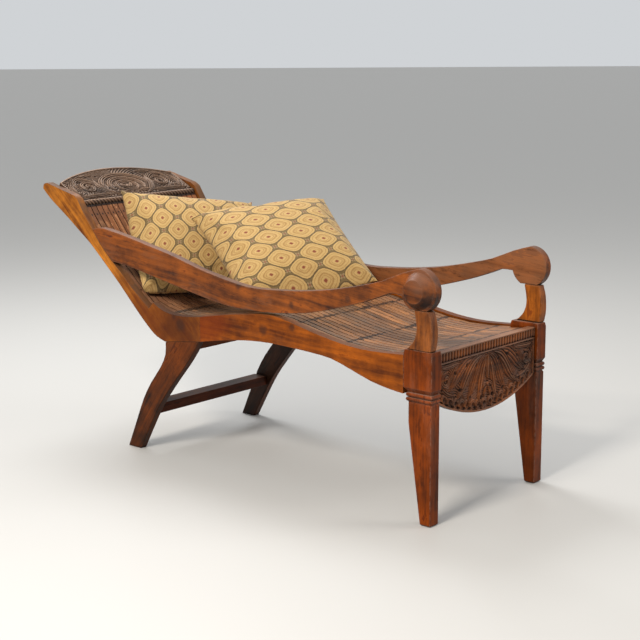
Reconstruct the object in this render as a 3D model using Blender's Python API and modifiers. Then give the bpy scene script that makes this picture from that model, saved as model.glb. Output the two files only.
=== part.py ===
"""A planters chair: two sawn side frames, a slatted seat and back, a carved crest and apron.

Metres, +Z up. The chair faces -Y, and the front faces of its front legs lie on Y = 0.
Side outlines are drawn as (y, z) points and given their thickness along X.
"""
import math

import bmesh
import bpy
from mathutils import Matrix, Vector
from mathutils.bvhtree import BVHTree

for old_object in list(bpy.data.objects):
    bpy.data.objects.remove(old_object, do_unlink=True)

# Overall sizes
WIDTH = 0.558
SEAT_HEIGHT = 0.470
SEAT_DEPTH = 0.893
PLANK = 0.026
GAP = 0.0003

# Front legs
BLOCK_WIDTH = 0.044
BLOCK_DEPTH = 0.097
BLOCK_RISE = 0.0205
BLOCK_HEIGHT = 0.1185
CAP_HEIGHT = 0.012
CAP_INSET = 0.0025
BEAD_HEIGHT = 0.013
BEAD_SWELL = 0.0055
GROOVE_INSET = 0.006
NECK_DEPTH = 0.080
NECK_INSET = 0.003
FOOT_WIDTH = 0.037
FOOT_DEPTH = 0.035
FOOT_CHAMFER = 0.004
TAPER_START = 0.83
# The outline of a bead: shares of its height, and of its swell
BEAD_PROFILE = ((0.15, 0.7), (0.5, 1.0), (0.85, 0.7), (1.0, 0.0))

# Arms, their round knuckles and the posts under them
KNUCKLE_Y = 0.048
KNUCKLE_RISE = 0.184
KNUCKLE_RADIUS = 0.060
KNUCKLE_FLAT = 0.0525
BOSS_LENGTH = 0.023
BOSS_BASE_RADIUS = 0.0565
BOSS_FACE_RADIUS = 0.032
POST_WIDTH = 0.028

# Apron between the front legs
APRON_THICKNESS = 0.024
APRON_SETBACK = 0.010
APRON_DROP = 0.010
APRON_SIDE_HEIGHT = 0.139
APRON_SAG = 0.062

# Crest rail between the ears
CREST_THICKNESS = 0.026
CREST_TILT = math.radians(26.0)
CREST_SIDE_HEIGHT = 0.137
CREST_RISE = 0.065
CREST_NOSE_RADIUS = 0.012
CREST_FOOT = (0.567, 0.315)

# Slats and what they lie on
SLAT_COUNT = 22
SLAT_GAP = 0.004
SLAT_THICKNESS = 0.008
SEAT_RECESS = 0.006
BACK_RECESS = 0.010
BATTEN_WIDTH = 0.032
BATTEN_THICKNESS = 0.014
BATTEN_SUNK = 0.0015
CLEAT_HEIGHT = 0.022
SEAT_BATTEN_PLACES = (0.065, 0.293, 0.520, 0.745)
BACK_BATTEN_PLACES = (0.36, 0.93)
REAR_RAIL_THICKNESS = 0.028
REAR_RAIL_DROP = 0.104
REAR_RAIL_OFFSET = 0.030
KNEE_RAIL_WIDTH = 0.036
KNEE_RAIL_OFFSET = 0.162
KNEE_RAIL_HEIGHT = 0.030

# Stretcher between the rear legs
STRETCHER_HEIGHT = 0.032
STRETCHER_DEPTH = 0.058
STRETCHER_Z = 0.140
STRETCHER_SETBACK = 0.010

# Joinery
TENON_THICKNESS = 0.010
TENON_LENGTH = 0.016
LONG_TENON = 0.024
TENON_ROOT = 0.004
TENON_SHOULDER = 0.007
HOUSING_DEPTH = 0.006
RAIL_TENON_HEIGHT = 0.060
KNEE_TENON_HEIGHT = 0.044
SABRE_TENON_DEPTH = 0.070
ARM_TENON_HEIGHT = 0.028
STRETCHER_TENON_HEIGHT = 0.020
PEG_FRONT = 0.024
PEG_BACK = 0.048
# Where these tenons begin and end, measured down from the piece's top, or up the crest's face
APRON_TENON = (0.030, 0.120)
REAR_RAIL_TENON = (0.012, 0.040)
KNEE_RAIL_TENON = (0.006, 0.024)
CREST_TENON = (0.040, 0.090)

# Edges and mesh fineness
SMALL_ARRIS = 0.0015
ARRIS = 0.002
POST_ARRIS = 0.003
ARRIS_ANGLE = math.radians(50)
ARC_STEPS = 24
BOSS_SEGMENTS = 32
NOSE_SEGMENTS = 20
MERGE_DISTANCE = 0.00001

# Loose pillows, by the corners of their middle surface: top left, top right, bottom right, bottom
# left, each as a share of the inner half width, metres behind the seat rail and metres over the seat
PILLOW_THICKNESS = 0.170
PILLOW_CROWN = 2.6
PILLOW_FULLNESS = 0.55
PILLOW_DRAWN_IN = 0.008
PILLOW_CELLS = 16
PILLOW_CLEARANCE = 0.0006
PILLOW_FREE_SHARE = 0.85
PILLOW_OVERHANG = 1.09
REAR_PILLOW_CORNERS = ((-0.474, 0.531, 0.342), (1.100, 0.297, 0.287), (0.474, 0.087, 0.024),
                       (-1.100, 0.252, 0.029))
REAR_PILLOW_SAG = 0.006
FRONT_PILLOW_CORNERS = ((-0.206, 0.260, 0.282), (1.166, -0.015, 0.3225), (0.613, -0.356, 0.100),
                        (-0.930, -0.138, 0.055))
FRONT_PILLOW_SAG = 0.030

# Side outlines. On the seat rail the first number is a share of the rail's length and the second
# a height over the seat line; on the knee, stile and rear leg the first is metres behind the rail.
RAIL_TOP = [(0.0, 0.004), (0.10, -0.001), (0.19, -0.002), (0.285, 0.004), (0.38, 0.016), (0.475, 0.031),
            (0.57, 0.046), (0.63, 0.050), (0.70, 0.046), (0.78, 0.037), (0.86, 0.027), (0.93, 0.016),
            (1.0, 0.0065)]
RAIL_BOTTOM = [(1.0, -0.072), (0.89, -0.056), (0.80, -0.045), (0.72, -0.038), (0.63, -0.0345),
               (0.545, -0.0355), (0.43, -0.039), (0.33, -0.0455), (0.24, -0.065), (0.145, -0.088),
               (0.06, -0.100), (0.0, -0.105)]
KNEE_TOP = [(0.0, 0.0065), (0.065, -0.001), (0.111, -0.002), (0.144, 0.001), (0.171, 0.007), (0.194, 0.0165),
            (0.212, 0.0265)]
KNEE_NOTCH = (0.233, 0.005)
STILE_FRONT = [(0.260, 0.023), (0.321, 0.069), (0.368, 0.110), (0.415, 0.147), (0.463, 0.192),
               (0.510, 0.248), (0.544, 0.289), (0.572, 0.330)]
EAR_TOP = [(0.591, 0.341), (0.634, 0.351), (0.686, 0.363), (0.728, 0.373)]
EAR_TIP = [(0.728, 0.373), (0.745, 0.368), (0.750, 0.353)]
STILE_BACK = [(0.750, 0.353), (0.715, 0.323), (0.664, 0.290), (0.613, 0.257), (0.564, 0.223), (0.514, 0.189),
              (0.465, 0.148), (0.417, 0.107), (0.370, 0.066), (0.323, 0.021), (0.277, -0.022),
              (0.230, -0.062), (0.199, -0.082), (0.161, -0.094)]
KNEE_HEEL = (0.161, -0.094)
RAIL_HEEL = (0.0, -0.072)

# Rear leg edges: metres behind the seat rail, and a share of the height of the knee over the floor
LEG_FRONT_EDGE = [(0.0075, 1.0), (0.0345, 0.905), (0.072, 0.795), (0.114, 0.684), (0.1785, 0.494),
                  (0.212, 0.372), (0.247, 0.218), (0.293, 0.0)]
LEG_BACK_EDGE = [(0.3525, 0.0), (0.3105, 0.257), (0.274, 0.472), (0.236, 0.629), (0.187, 0.78), (0.163, 0.89),
                 (0.160, 1.0)]

# Arm edges: a share of the way from the knuckle's centre to the stile, and a height over the seat
ARM_TOP = [(0.041, 0.227), (0.0977, 0.196), (0.1506, 0.177), (0.205, 0.160), (0.26, 0.146), (0.334, 0.133),
           (0.40, 0.126), (0.448, 0.123), (0.501, 0.127), (0.598, 0.148), (0.661, 0.167), (0.725, 0.188),
           (0.793, 0.205), (0.863, 0.223), (0.937, 0.239), (0.972, 0.243)]
ARM_BOTTOM = [(0.867, 0.130), (0.796, 0.113), (0.727, 0.096), (0.664, 0.081), (0.600, 0.067), (0.551, 0.058),
              (0.5086, 0.0535), (0.42, 0.0555), (0.368, 0.0615), (0.3065, 0.072), (0.261, 0.085),
              (0.205, 0.105), (0.1506, 0.127), (0.0977, 0.153), (0.0716, 0.167)]
ARM_END_TOP_Z = 0.236
ARM_END_BOTTOM_Z = 0.138

# Post edges: metres behind the leg's front, and a share of the post's height
POST_FRONT_EDGE = [(0.006, 0.0), (0.0005, 0.25), (0.0, 0.5), (0.003, 0.75), (0.011, 1.0)]
POST_BACK_EDGE = [(0.062, 1.0), (0.0545, 0.63), (0.056, 0.40), (0.064, 0.22), (0.076, 0.09), (0.088, 0.0)]

HALF_WIDTH = WIDTH / 2
INNER_HALF = HALF_WIDTH - PLANK
BLOCK_TOP = SEAT_HEIGHT + BLOCK_RISE
KNUCKLE_Z = SEAT_HEIGHT + KNUCKLE_RISE
POST_TOP = KNUCKLE_Z - KNUCKLE_FLAT
RAIL_LENGTH = SEAT_DEPTH - BLOCK_DEPTH
SIDES = (("left", -1), ("right", 1))

parts = bpy.data.collections.new("planters_chair")
cutters = bpy.data.collections.new("cutters")
bpy.context.scene.collection.children.link(parts)
bpy.context.scene.collection.children.link(cutters)
chair_origin = bpy.data.objects.new("chair_origin", None)
parts.objects.link(chair_origin)


def finish(name, colour, roughness):
    """A plain wood or cloth material."""
    material = bpy.data.materials.new(name)
    material.use_nodes = True
    shader = material.node_tree.nodes["Principled BSDF"]
    shader.inputs["Base Color"].default_value = (*colour, 1.0)
    shader.inputs["Roughness"].default_value = roughness
    shader.inputs["Metallic"].default_value = 0.0
    material.diffuse_color = (*colour, 1.0)
    return material


TEAK = finish("teak", (0.30, 0.11, 0.035), 0.42)
RED_TEAK = finish("red_teak", (0.20, 0.065, 0.025), 0.40)
DARK_TEAK = finish("dark_teak", (0.09, 0.045, 0.028), 0.55)
SLAT_TEAK = finish("slat_teak", (0.17, 0.085, 0.05), 0.50)
CLOTH = finish("cloth", (0.45, 0.32, 0.14), 0.90)


def link(name, mesh, material, frame=None, collection=parts):
    """Puts a mesh in the scene as a named object, in a frame of its own if one is given."""
    piece = bpy.data.objects.new(name, mesh)
    collection.objects.link(piece)
    piece.parent = chair_origin
    piece.matrix_basis = frame or Matrix()
    if material:
        mesh.materials.clear()
        mesh.materials.append(material)
    if collection is cutters:
        piece.hide_render = True
        piece.display_type = "WIRE"
    return piece


def smooth_run(points, steps=2):
    """Points on a smooth curve through the given ones (Catmull-Rom)."""
    ends = [2 * Vector(points[0]) - Vector(points[1]), 2 * Vector(points[-1]) - Vector(points[-2])]
    row = [ends[0]] + [Vector(p) for p in points] + [ends[1]]
    result = []
    for i in range(1, len(row) - 2):
        before, start, end, after = row[i - 1:i + 3]
        for k in range(steps):
            t = k / steps
            result.append(0.5 * (2 * start + (end - before) * t
                                 + (2 * before - 5 * start + 4 * end - after) * t ** 2
                                 + (3 * start - 3 * end + after - before) * t ** 3))
    return result + [Vector(points[-1])]


def outline_mesh(name, points, thickness):
    """A flat outline given a thickness, half of it on each side of its plane, as one closed mesh."""
    curve = bpy.data.curves.new(name, "CURVE")
    curve.dimensions = "2D"
    curve.fill_mode = "BOTH"
    curve.extrude = thickness / 2
    spline = curve.splines.new("POLY")
    spline.points.add(len(points) - 1)
    for spline_point, point in zip(spline.points, points):
        spline_point.co = (point[0], point[1], 0.0, 1.0)
    spline.use_cyclic_u = True
    curve_object = bpy.data.objects.new(name, curve)
    cutters.objects.link(curve_object)
    bpy.context.view_layer.update()
    evaluated = curve_object.evaluated_get(bpy.context.evaluated_depsgraph_get())
    mesh = bpy.data.meshes.new_from_object(evaluated)
    bpy.data.objects.remove(curve_object, do_unlink=True)
    bpy.data.curves.remove(curve)
    working = bmesh.new()
    working.from_mesh(mesh)
    bmesh.ops.remove_doubles(working, verts=working.verts, dist=MERGE_DISTANCE)
    bmesh.ops.recalc_face_normals(working, faces=working.faces)
    working.to_mesh(mesh)
    working.free()
    mesh.name = name
    return mesh


def side_frame(x):
    """The frame of a side outline: its first axis is Y, its second Z, its thickness lies along X."""
    return Matrix(((0, 0, 1, x), (1, 0, 0, 0), (0, 1, 0, 0), (0, 0, 0, 1)))


def soften(piece, width):
    """Takes the sharp arrises off a sawn piece."""
    bevel = piece.modifiers.new("arris", "BEVEL")
    bevel.width = width
    bevel.segments = 1
    bevel.limit_method = "ANGLE"
    bevel.angle_limit = ARRIS_ANGLE
    return piece


def side_plank(name, points, side, material, thickness=PLANK, arris=ARRIS):
    """A plank sawn to a side outline, its outer face flush with the side of the chair."""
    frame = side_frame(side * (HALF_WIDTH - thickness / 2))
    return soften(link(name, outline_mesh(name, points, thickness), material, frame), arris)


def box_mesh(name, low, high):
    """A box between two corners."""
    mesh = bpy.data.meshes.new(name)
    working = bmesh.new()
    bmesh.ops.create_cube(working, size=1.0)
    size = [b - a for a, b in zip(low, high)]
    centre = [(a + b) / 2 for a, b in zip(low, high)]
    working.transform(Matrix.Translation(centre) @ Matrix.Diagonal((*size, 1.0)))
    working.to_mesh(mesh)
    working.free()
    return mesh


def block_cutter(name, low, high, frame=None):
    """A box between two corners of a frame, to add or take away."""
    return link(name, box_mesh(name, low, high), None, frame, cutters)


def round_cutter(name, base_radius, face_radius, length, segments, frame):
    """A cylinder or cone along the Z axis of a frame."""
    mesh = bpy.data.meshes.new(name)
    working = bmesh.new()
    bmesh.ops.create_cone(working, cap_ends=True, segments=segments, radius1=base_radius,
                          radius2=face_radius, depth=length)
    working.to_mesh(mesh)
    working.free()
    return link(name, mesh, None, frame, cutters)


def combine(piece, tool, operation):
    """Adds a tool's shape to a piece, or takes it away."""
    boolean = piece.modifiers.new(tool.name, "BOOLEAN")
    boolean.operation = operation
    boolean.solver = "EXACT"
    boolean.object = tool


def tenon_joint(tenoned, mortised, low, high, frame=None, label=None):
    """A tenon on one piece, and the mortise for it in the other."""
    label = (label or tenoned.name) + "_in_" + mortised.name
    combine(tenoned, block_cutter(label, low, high, frame), "UNION")
    wide_low = [a - GAP for a in low]
    wide_high = [b + GAP for b in high]
    combine(mortised, block_cutter(label + "_mortise", wide_low, wide_high, frame), "DIFFERENCE")


def x_span(side, inner, outer):
    """The low and high X of a stretch between two distances from the middle."""
    return (inner, outer) if side > 0 else (-outer, -inner)


def rail_point(point):
    """A seat rail point in the side view."""
    return (BLOCK_DEPTH + point[0] * RAIL_LENGTH, SEAT_HEIGHT + point[1])


def back_point(point):
    """A knee or stile point in the side view."""
    return (SEAT_DEPTH + point[0], SEAT_HEIGHT + point[1])


def height_at(path, y):
    """The height of a side-view path at a given Y."""
    for start, end in zip(path, path[1:]):
        if start[0] <= y <= end[0]:
            return start[1] + (end[1] - start[1]) * (y - start[0]) / (end[0] - start[0])
    return path[0][1] if y < path[0][0] else path[-1][1]


def depth_at(path, z):
    """The Y of a side-view path at a given height."""
    return height_at([(p[1], p[0]) for p in path], z)


def shifted(path, distance):
    """A side-view path moved square to itself, down for a positive distance."""
    result = []
    for i, point in enumerate(path):
        before = path[max(i - 1, 0)]
        after = path[min(i + 1, len(path) - 1)]
        along = Vector((after[0] - before[0], after[1] - before[1])).normalized()
        result.append(Vector((point[0] + along.y * distance, point[1] - along.x * distance)))
    return result


def cut_to(path, start_y, end_y):
    """The part of a side-view path between two Y values."""
    inside = [Vector(p) for p in path if start_y < p[0] < end_y]
    return ([Vector((start_y, height_at(path, start_y)))] + inside
            + [Vector((end_y, height_at(path, end_y)))])


rail_top_line = smooth_run([rail_point(p) for p in RAIL_TOP])
knee_top_line = smooth_run([back_point(p) for p in KNEE_TOP])
stile_front_line = smooth_run([back_point(p) for p in STILE_FRONT])


def front_leg(side_name, side):
    """A front leg: a square block with a cap, two beads, and a foot that tapers behind."""
    block_bottom = BLOCK_TOP - BLOCK_HEIGHT
    neck_top = block_bottom - 2 * BEAD_HEIGHT
    bead_depth = (BLOCK_DEPTH + NECK_DEPTH) / 2
    levels = [(BLOCK_TOP, CAP_INSET, BLOCK_DEPTH - CAP_INSET, CAP_INSET, BLOCK_WIDTH - CAP_INSET),
              (BLOCK_TOP - CAP_HEIGHT, 0.0, BLOCK_DEPTH, 0.0, BLOCK_WIDTH),
              (block_bottom + CAP_HEIGHT, 0.0, BLOCK_DEPTH, 0.0, BLOCK_WIDTH),
              (block_bottom, GROOVE_INSET, bead_depth - BEAD_SWELL, GROOVE_INSET, BLOCK_WIDTH - GROOVE_INSET)]
    for bead in range(2):
        for share, swell in BEAD_PROFILE:
            z = block_bottom - (bead + share) * BEAD_HEIGHT
            out = GROOVE_INSET - swell * BEAD_SWELL
            levels.append((z, out, bead_depth - BEAD_SWELL + swell * BEAD_SWELL, out, BLOCK_WIDTH - out))
    foot_inner = NECK_INSET + FOOT_WIDTH
    levels += [(neck_top - BEAD_SWELL, NECK_INSET, NECK_DEPTH, NECK_INSET, BLOCK_WIDTH - NECK_INSET),
               (neck_top * TAPER_START, NECK_INSET, NECK_DEPTH, NECK_INSET, BLOCK_WIDTH - NECK_INSET),
               (FOOT_CHAMFER, NECK_INSET, FOOT_DEPTH + NECK_INSET, NECK_INSET, foot_inner),
               (0.0, NECK_INSET + FOOT_CHAMFER, FOOT_DEPTH + NECK_INSET - FOOT_CHAMFER,
                NECK_INSET + FOOT_CHAMFER, foot_inner - FOOT_CHAMFER)]
    working = bmesh.new()
    rings = []
    for z, front, back, outer, inner in levels:
        corners = ((outer, front), (inner, front), (inner, back), (outer, back))
        rings.append([working.verts.new((side * (HALF_WIDTH - x), y, z)) for x, y in corners])
    for upper, lower in zip(rings, rings[1:]):
        for k in range(4):
            working.faces.new((upper[k], upper[(k + 1) % 4], lower[(k + 1) % 4], lower[k]))
    working.faces.new(rings[0])
    working.faces.new(rings[-1])
    bmesh.ops.recalc_face_normals(working, faces=working.faces)
    mesh = bpy.data.meshes.new("front_leg_" + side_name)
    working.to_mesh(mesh)
    working.free()
    return link("front_leg_" + side_name, mesh, RED_TEAK)


def seat_rail(side_name, side):
    """A curved seat rail from the front leg to the knee."""
    bottom = smooth_run([rail_point(p) for p in RAIL_BOTTOM])
    points = cut_to(rail_top_line, BLOCK_DEPTH + GAP, SEAT_DEPTH - GAP)
    ends = [Vector((SEAT_DEPTH - GAP, bottom[0].y))]
    return side_plank("seat_rail_" + side_name,
                      points + ends + bottom[1:-1] + [Vector((BLOCK_DEPTH + GAP, bottom[-1].y))], side, TEAK)


def back_stile(side_name, side):
    """A knee and a reclined back stile in one plank, with a flared ear at the top."""
    points = list(knee_top_line) + [Vector(back_point(KNEE_NOTCH))] + list(stile_front_line)
    points += smooth_run([back_point(p) for p in EAR_TOP], 2)[:-1]
    points += smooth_run([back_point(p) for p in EAR_TIP], 4)[:-1]
    points += smooth_run([back_point(p) for p in STILE_BACK]) + [Vector(back_point(RAIL_HEEL))]
    return side_plank("back_stile_" + side_name, points, side, TEAK)


def rear_leg(side_name, side):
    """A sabre rear leg that rakes backwards from under the knee."""
    front_top = SEAT_HEIGHT + RAIL_HEEL[1]
    back_top = SEAT_HEIGHT + KNEE_HEEL[1]

    def joint_height(offset):
        return front_top + (back_top - front_top) * offset / KNEE_HEEL[0] - 2 * GAP

    def edge(points):
        return smooth_run([(SEAT_DEPTH + dy, share * joint_height(dy)) for dy, share in points])

    top = [(LEG_BACK_EDGE[-1][0], 1.0), (LEG_FRONT_EDGE[0][0], 1.0)]
    points = edge(LEG_FRONT_EDGE) + edge(LEG_BACK_EDGE)
    points[0] = Vector((SEAT_DEPTH + top[1][0], joint_height(top[1][0])))
    points[-1] = Vector((SEAT_DEPTH + top[0][0], joint_height(top[0][0])))
    return side_plank("rear_leg_" + side_name, points, side, RED_TEAK)


arm_start = KNUCKLE_Y
arm_end = depth_at(stile_front_line, SEAT_HEIGHT + ARM_END_TOP_Z)
flat_half = math.sqrt(KNUCKLE_RADIUS ** 2 - KNUCKLE_FLAT ** 2)


def armrest(side_name, side):
    """A long curved arm on edge, with a round knuckle at the front and a cone boss outside it."""
    def arm_point(point):
        return (arm_start + point[0] * (arm_end - arm_start), SEAT_HEIGHT + point[1])

    end_line = [Vector((depth_at(stile_front_line, z) - 2 * GAP, z - GAP)) for z in
                (SEAT_HEIGHT + ARM_END_TOP_Z + (ARM_END_BOTTOM_Z - ARM_END_TOP_Z) * k / 6 for k in range(7))]
    top = smooth_run([(KNUCKLE_Y, KNUCKLE_Z + KNUCKLE_RADIUS)] + [arm_point(p) for p in ARM_TOP]
                     + [tuple(end_line[0])])
    inner_corner = math.asin((SEAT_HEIGHT + ARM_BOTTOM[-1][1] - KNUCKLE_Z) / KNUCKLE_RADIUS)
    corner_point = Vector((KNUCKLE_Y + KNUCKLE_RADIUS * math.cos(inner_corner),
                           KNUCKLE_Z + KNUCKLE_RADIUS * math.sin(inner_corner)))
    bottom = smooth_run([tuple(end_line[-1])] + [arm_point(p) for p in ARM_BOTTOM] + [tuple(corner_point)])
    flat_angle = math.asin(KNUCKLE_FLAT / KNUCKLE_RADIUS)
    first_arc = [inner_corner - (inner_corner + flat_angle) * k / 6 for k in range(1, 7)]
    second_start = flat_angle - math.pi
    second_end = -1.5 * math.pi
    second_arc = [second_start + (second_end - second_start) * k / 18 for k in range(18)]
    circle = [Vector((KNUCKLE_Y + KNUCKLE_RADIUS * math.cos(a), KNUCKLE_Z + KNUCKLE_RADIUS * math.sin(a)))
              for a in first_arc + second_arc]
    arm = side_plank("armrest_" + side_name, top + end_line[1:-1] + bottom + circle, side, RED_TEAK)

    sunk = PLANK / 4
    place = Matrix.Translation((side * (HALF_WIDTH + (BOSS_LENGTH - sunk) / 2), KNUCKLE_Y, KNUCKLE_Z))
    boss = round_cutter("boss_" + side_name, BOSS_BASE_RADIUS, BOSS_FACE_RADIUS, BOSS_LENGTH + sunk,
                        BOSS_SEGMENTS, place @ Matrix.Rotation(side * math.pi / 2, 4, "Y"))
    combine(arm, boss, "UNION")
    under = x_span(side, HALF_WIDTH - 2 * PLANK, HALF_WIDTH + 2 * BOSS_LENGTH)
    combine(arm, block_cutter("knuckle_flat_" + side_name,
                              (under[0], KNUCKLE_Y - KNUCKLE_RADIUS, POST_TOP - KNUCKLE_RADIUS),
                              (under[1], KNUCKLE_Y + flat_half + GAP, POST_TOP)), "DIFFERENCE")
    return arm


def arm_post(side_name, side):
    """A bowed post between the front leg and the arm's knuckle."""
    bottom = BLOCK_TOP + GAP
    height = POST_TOP - GAP - bottom

    def edge(points):
        return smooth_run([(y, bottom + share * height) for y, share in points], 4)

    return side_plank("arm_post_" + side_name, edge(POST_FRONT_EDGE) + edge(POST_BACK_EDGE), side, RED_TEAK,
                      thickness=POST_WIDTH, arris=POST_ARRIS)


apron_front = APRON_SETBACK
apron_back = APRON_SETBACK + APRON_THICKNESS
apron_top = BLOCK_TOP - APRON_DROP
apron_half = HALF_WIDTH - BLOCK_WIDTH - 2 * GAP


def arc_line(half_width, side_height, rise, steps):
    """Points of a shallow arc, from its right end to its left end, over a level line."""
    radius = (half_width ** 2 + rise ** 2) / (2 * rise)
    centre = side_height + rise - radius
    result = []
    for k in range(steps + 1):
        x = half_width * (1 - 2 * k / steps)
        result.append((x, centre + math.sqrt(radius ** 2 - x ** 2)))
    return result


def front_apron():
    """The carved apron's board: straight on top, a shallow bow below."""
    arc = [(-x, -z) for x, z in arc_line(apron_half, APRON_SIDE_HEIGHT, APRON_SAG, ARC_STEPS)]
    points = [(apron_half, 0.0), (-apron_half, 0.0)] + arc
    frame = Matrix(((1, 0, 0, 0), (0, 0, -1, (apron_front + apron_back) / 2), (0, 1, 0, apron_top),
                    (0, 0, 0, 1)))
    board = link("front_apron", outline_mesh("front_apron", points, APRON_THICKNESS), DARK_TEAK, frame)
    return soften(board, SMALL_ARRIS)


crest_foot = Vector(back_point(CREST_FOOT))
crest_along = Vector((math.cos(CREST_TILT), math.sin(CREST_TILT)))
crest_half = INNER_HALF - GAP
# The crest's frame: X across, Y up its face, Z out of its face
CREST_FRAME = Matrix(((1, 0, 0, 0), (0, crest_along.x, -crest_along.y, crest_foot.x),
                      (0, crest_along.y, crest_along.x, crest_foot.y), (0, 0, 0, 1)))


def crest_rail():
    """The carved crest's board: an arched top and a round nose along its lower edge."""
    arc = arc_line(crest_half, CREST_SIDE_HEIGHT, CREST_RISE, ARC_STEPS)
    points = [(-crest_half, CREST_NOSE_RADIUS), (crest_half, CREST_NOSE_RADIUS)] + arc
    frame = CREST_FRAME @ Matrix.Translation((0, 0, -CREST_THICKNESS / 2))
    crest = link("crest_rail", outline_mesh("crest_rail", points, CREST_THICKNESS), DARK_TEAK, frame)
    soften(crest, SMALL_ARRIS)
    place = CREST_FRAME @ Matrix.Translation((0, CREST_NOSE_RADIUS, -CREST_NOSE_RADIUS))
    nose = round_cutter("crest_nose", CREST_NOSE_RADIUS, CREST_NOSE_RADIUS, 2 * crest_half, NOSE_SEGMENTS,
                        place @ Matrix.Rotation(math.pi / 2, 4, "Y"))
    combine(crest, nose, "UNION")
    return crest


slat_pitch = 2 * (INNER_HALF - SLAT_GAP / 2) / SLAT_COUNT
slat_width = slat_pitch - SLAT_GAP


def slat_x(number):
    """The middle of a slat, counted from the left."""
    return (number - (SLAT_COUNT - 1) / 2) * slat_pitch


def thinned(path, keep):
    """Every so many points of a path, with its end."""
    return path[:-1:keep] + [path[-1]]


seat_front = Vector((apron_back + GAP, apron_top - SLAT_GAP))
rear_end = SEAT_DEPTH + KNEE_RAIL_OFFSET - SLAT_GAP / 2
curved = [Vector((p[0], p[1] - SEAT_RECESS)) for p in rail_top_line[2:] + knee_top_line[1:]]
seat_start = (seat_front + curved[0]) / 2 - Vector((0, SLAT_GAP / 8))
seat_path = cut_to([seat_front, seat_start] + thinned(curved, 2), seat_front.x, rear_end)


def back_face():
    """The face of the back slats in the side view, from the knee rail to under the crest."""
    upper = shifted(stile_front_line, BACK_RECESS)
    foot = Vector((SEAT_DEPTH + KNEE_RAIL_OFFSET + SLAT_GAP, SEAT_HEIGHT - SEAT_RECESS - SLAT_THICKNESS / 2))
    middle = (foot + upper[0]) / 2 - Vector((0, SLAT_GAP / 2))
    lower = smooth_run([tuple(foot), tuple(middle), tuple(upper[0])], 2)[:-1]
    nose = crest_foot + (crest_along + Vector((crest_along.y, -crest_along.x))) * CREST_NOSE_RADIUS
    end_y = crest_foot.x + CREST_NOSE_RADIUS
    while True:
        path = lower + cut_to(upper, upper[0].x + GAP, end_y)
        end_gap = min((corner - nose).length for corner in (path[-1], shifted(path, SLAT_THICKNESS)[-1]))
        if end_gap > CREST_NOSE_RADIUS + 2 * GAP:
            return thinned(path, 2)
        end_y -= GAP


back_path = back_face()


def slat_mesh(name, path, plumb_ends):
    """A thin slat bent along a side-view path, its ends cut plumb or square."""
    under = shifted(path, SLAT_THICKNESS)
    if plumb_ends:
        under = cut_to(under, path[0].x, path[-1].x)
    return outline_mesh(name, list(path) + list(reversed(under)), slat_width)


def seat_slats():
    """The seat slats; those in line with a front leg stop behind it."""
    whole = slat_mesh("seat_slat", seat_path, True)
    behind_leg = cut_to(seat_path, BLOCK_DEPTH + 2 * GAP, rear_end)
    beside_leg = slat_mesh("seat_slat_beside_leg", behind_leg, True)
    for number in range(SLAT_COUNT):
        outer_edge = abs(slat_x(number)) + slat_width / 2
        mesh = beside_leg if outer_edge > HALF_WIDTH - BLOCK_WIDTH - 2 * GAP else whole
        link(f"seat_slat_{number + 1:02d}", mesh, SLAT_TEAK, side_frame(slat_x(number)))


def back_slats():
    """The back's slats and the two battens behind them, fixed together as one panel."""
    slat = slat_mesh("back_slat", back_path, False)
    working = bmesh.new()
    for number in range(SLAT_COUNT):
        known = len(working.verts)
        working.from_mesh(slat)
        working.verts.ensure_lookup_table()
        bmesh.ops.translate(working, verts=working.verts[known:], vec=(0, 0, slat_x(number)))
    mesh = bpy.data.meshes.new("back_slats")
    working.to_mesh(mesh)
    working.free()
    panel = link("back_slats", mesh, SLAT_TEAK, side_frame(0))
    for number, share in enumerate(BACK_BATTEN_PLACES):
        batten_y = back_path[0].x + share * (back_path[-1].x - back_path[0].x)
        centre, along = path_frame(back_path, batten_y)
        frame = section_frame(centre + Vector((0, BATTEN_SUNK)), along)
        low = (-(INNER_HALF - GAP), -BATTEN_WIDTH / 2, -BATTEN_THICKNESS)
        high = (INNER_HALF - GAP, BATTEN_WIDTH / 2, 0)
        combine(panel, block_cutter(f"back_batten_{number + 1}", low, high, frame), "UNION")
        batten_tenons(panel, f"back_batten_{number + 1}", frame, stiles)


def cross_bar(name, low, high, half, material, frame=None, arris=SMALL_ARRIS):
    """A straight bar across the chair, between two (y, z) corners of its section."""
    mesh = box_mesh(name, (-half, *low), (half, *high))
    return soften(link(name, mesh, material, frame), arris)


def section_frame(centre, along):
    """The frame of a batten: X across the chair, Y along the slats, its top at Z = 0."""
    return Matrix(((1, 0, 0, 0), (0, along.x, -along.y, centre.x), (0, along.y, along.x, centre.y),
                   (0, 0, 0, 1)))


def path_frame(path, y):
    """The highest seat for a batten's top under a slat path, with the path's direction there."""
    under = shifted(path, SLAT_THICKNESS)
    half = BATTEN_WIDTH / 2
    along = (Vector((y + half, height_at(under, y + half)))
             - Vector((y - half, height_at(under, y - half)))).normalized()
    slope = along.y / along.x
    reach = [p.x for p in under if abs(p.x - y) < half] + [y - half, y, y + half]
    top = min(height_at(under, place) - slope * (place - y) for place in reach)
    return Vector((y, top)), along


def batten_tenons(batten, label, frame, carriers):
    """A tenon on each end of a batten, housed in the planks."""
    for (side_name, side), carrier in zip(SIDES, carriers):
        span = x_span(side, INNER_HALF - TENON_ROOT, INNER_HALF + HOUSING_DEPTH)
        tenon_joint(batten, carrier, (span[0], -BATTEN_WIDTH / 3, -BATTEN_THICKNESS * 0.8),
                    (span[1], BATTEN_WIDTH / 3, -BATTEN_THICKNESS * 0.2), frame, f"{label}_{side_name}")


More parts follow.
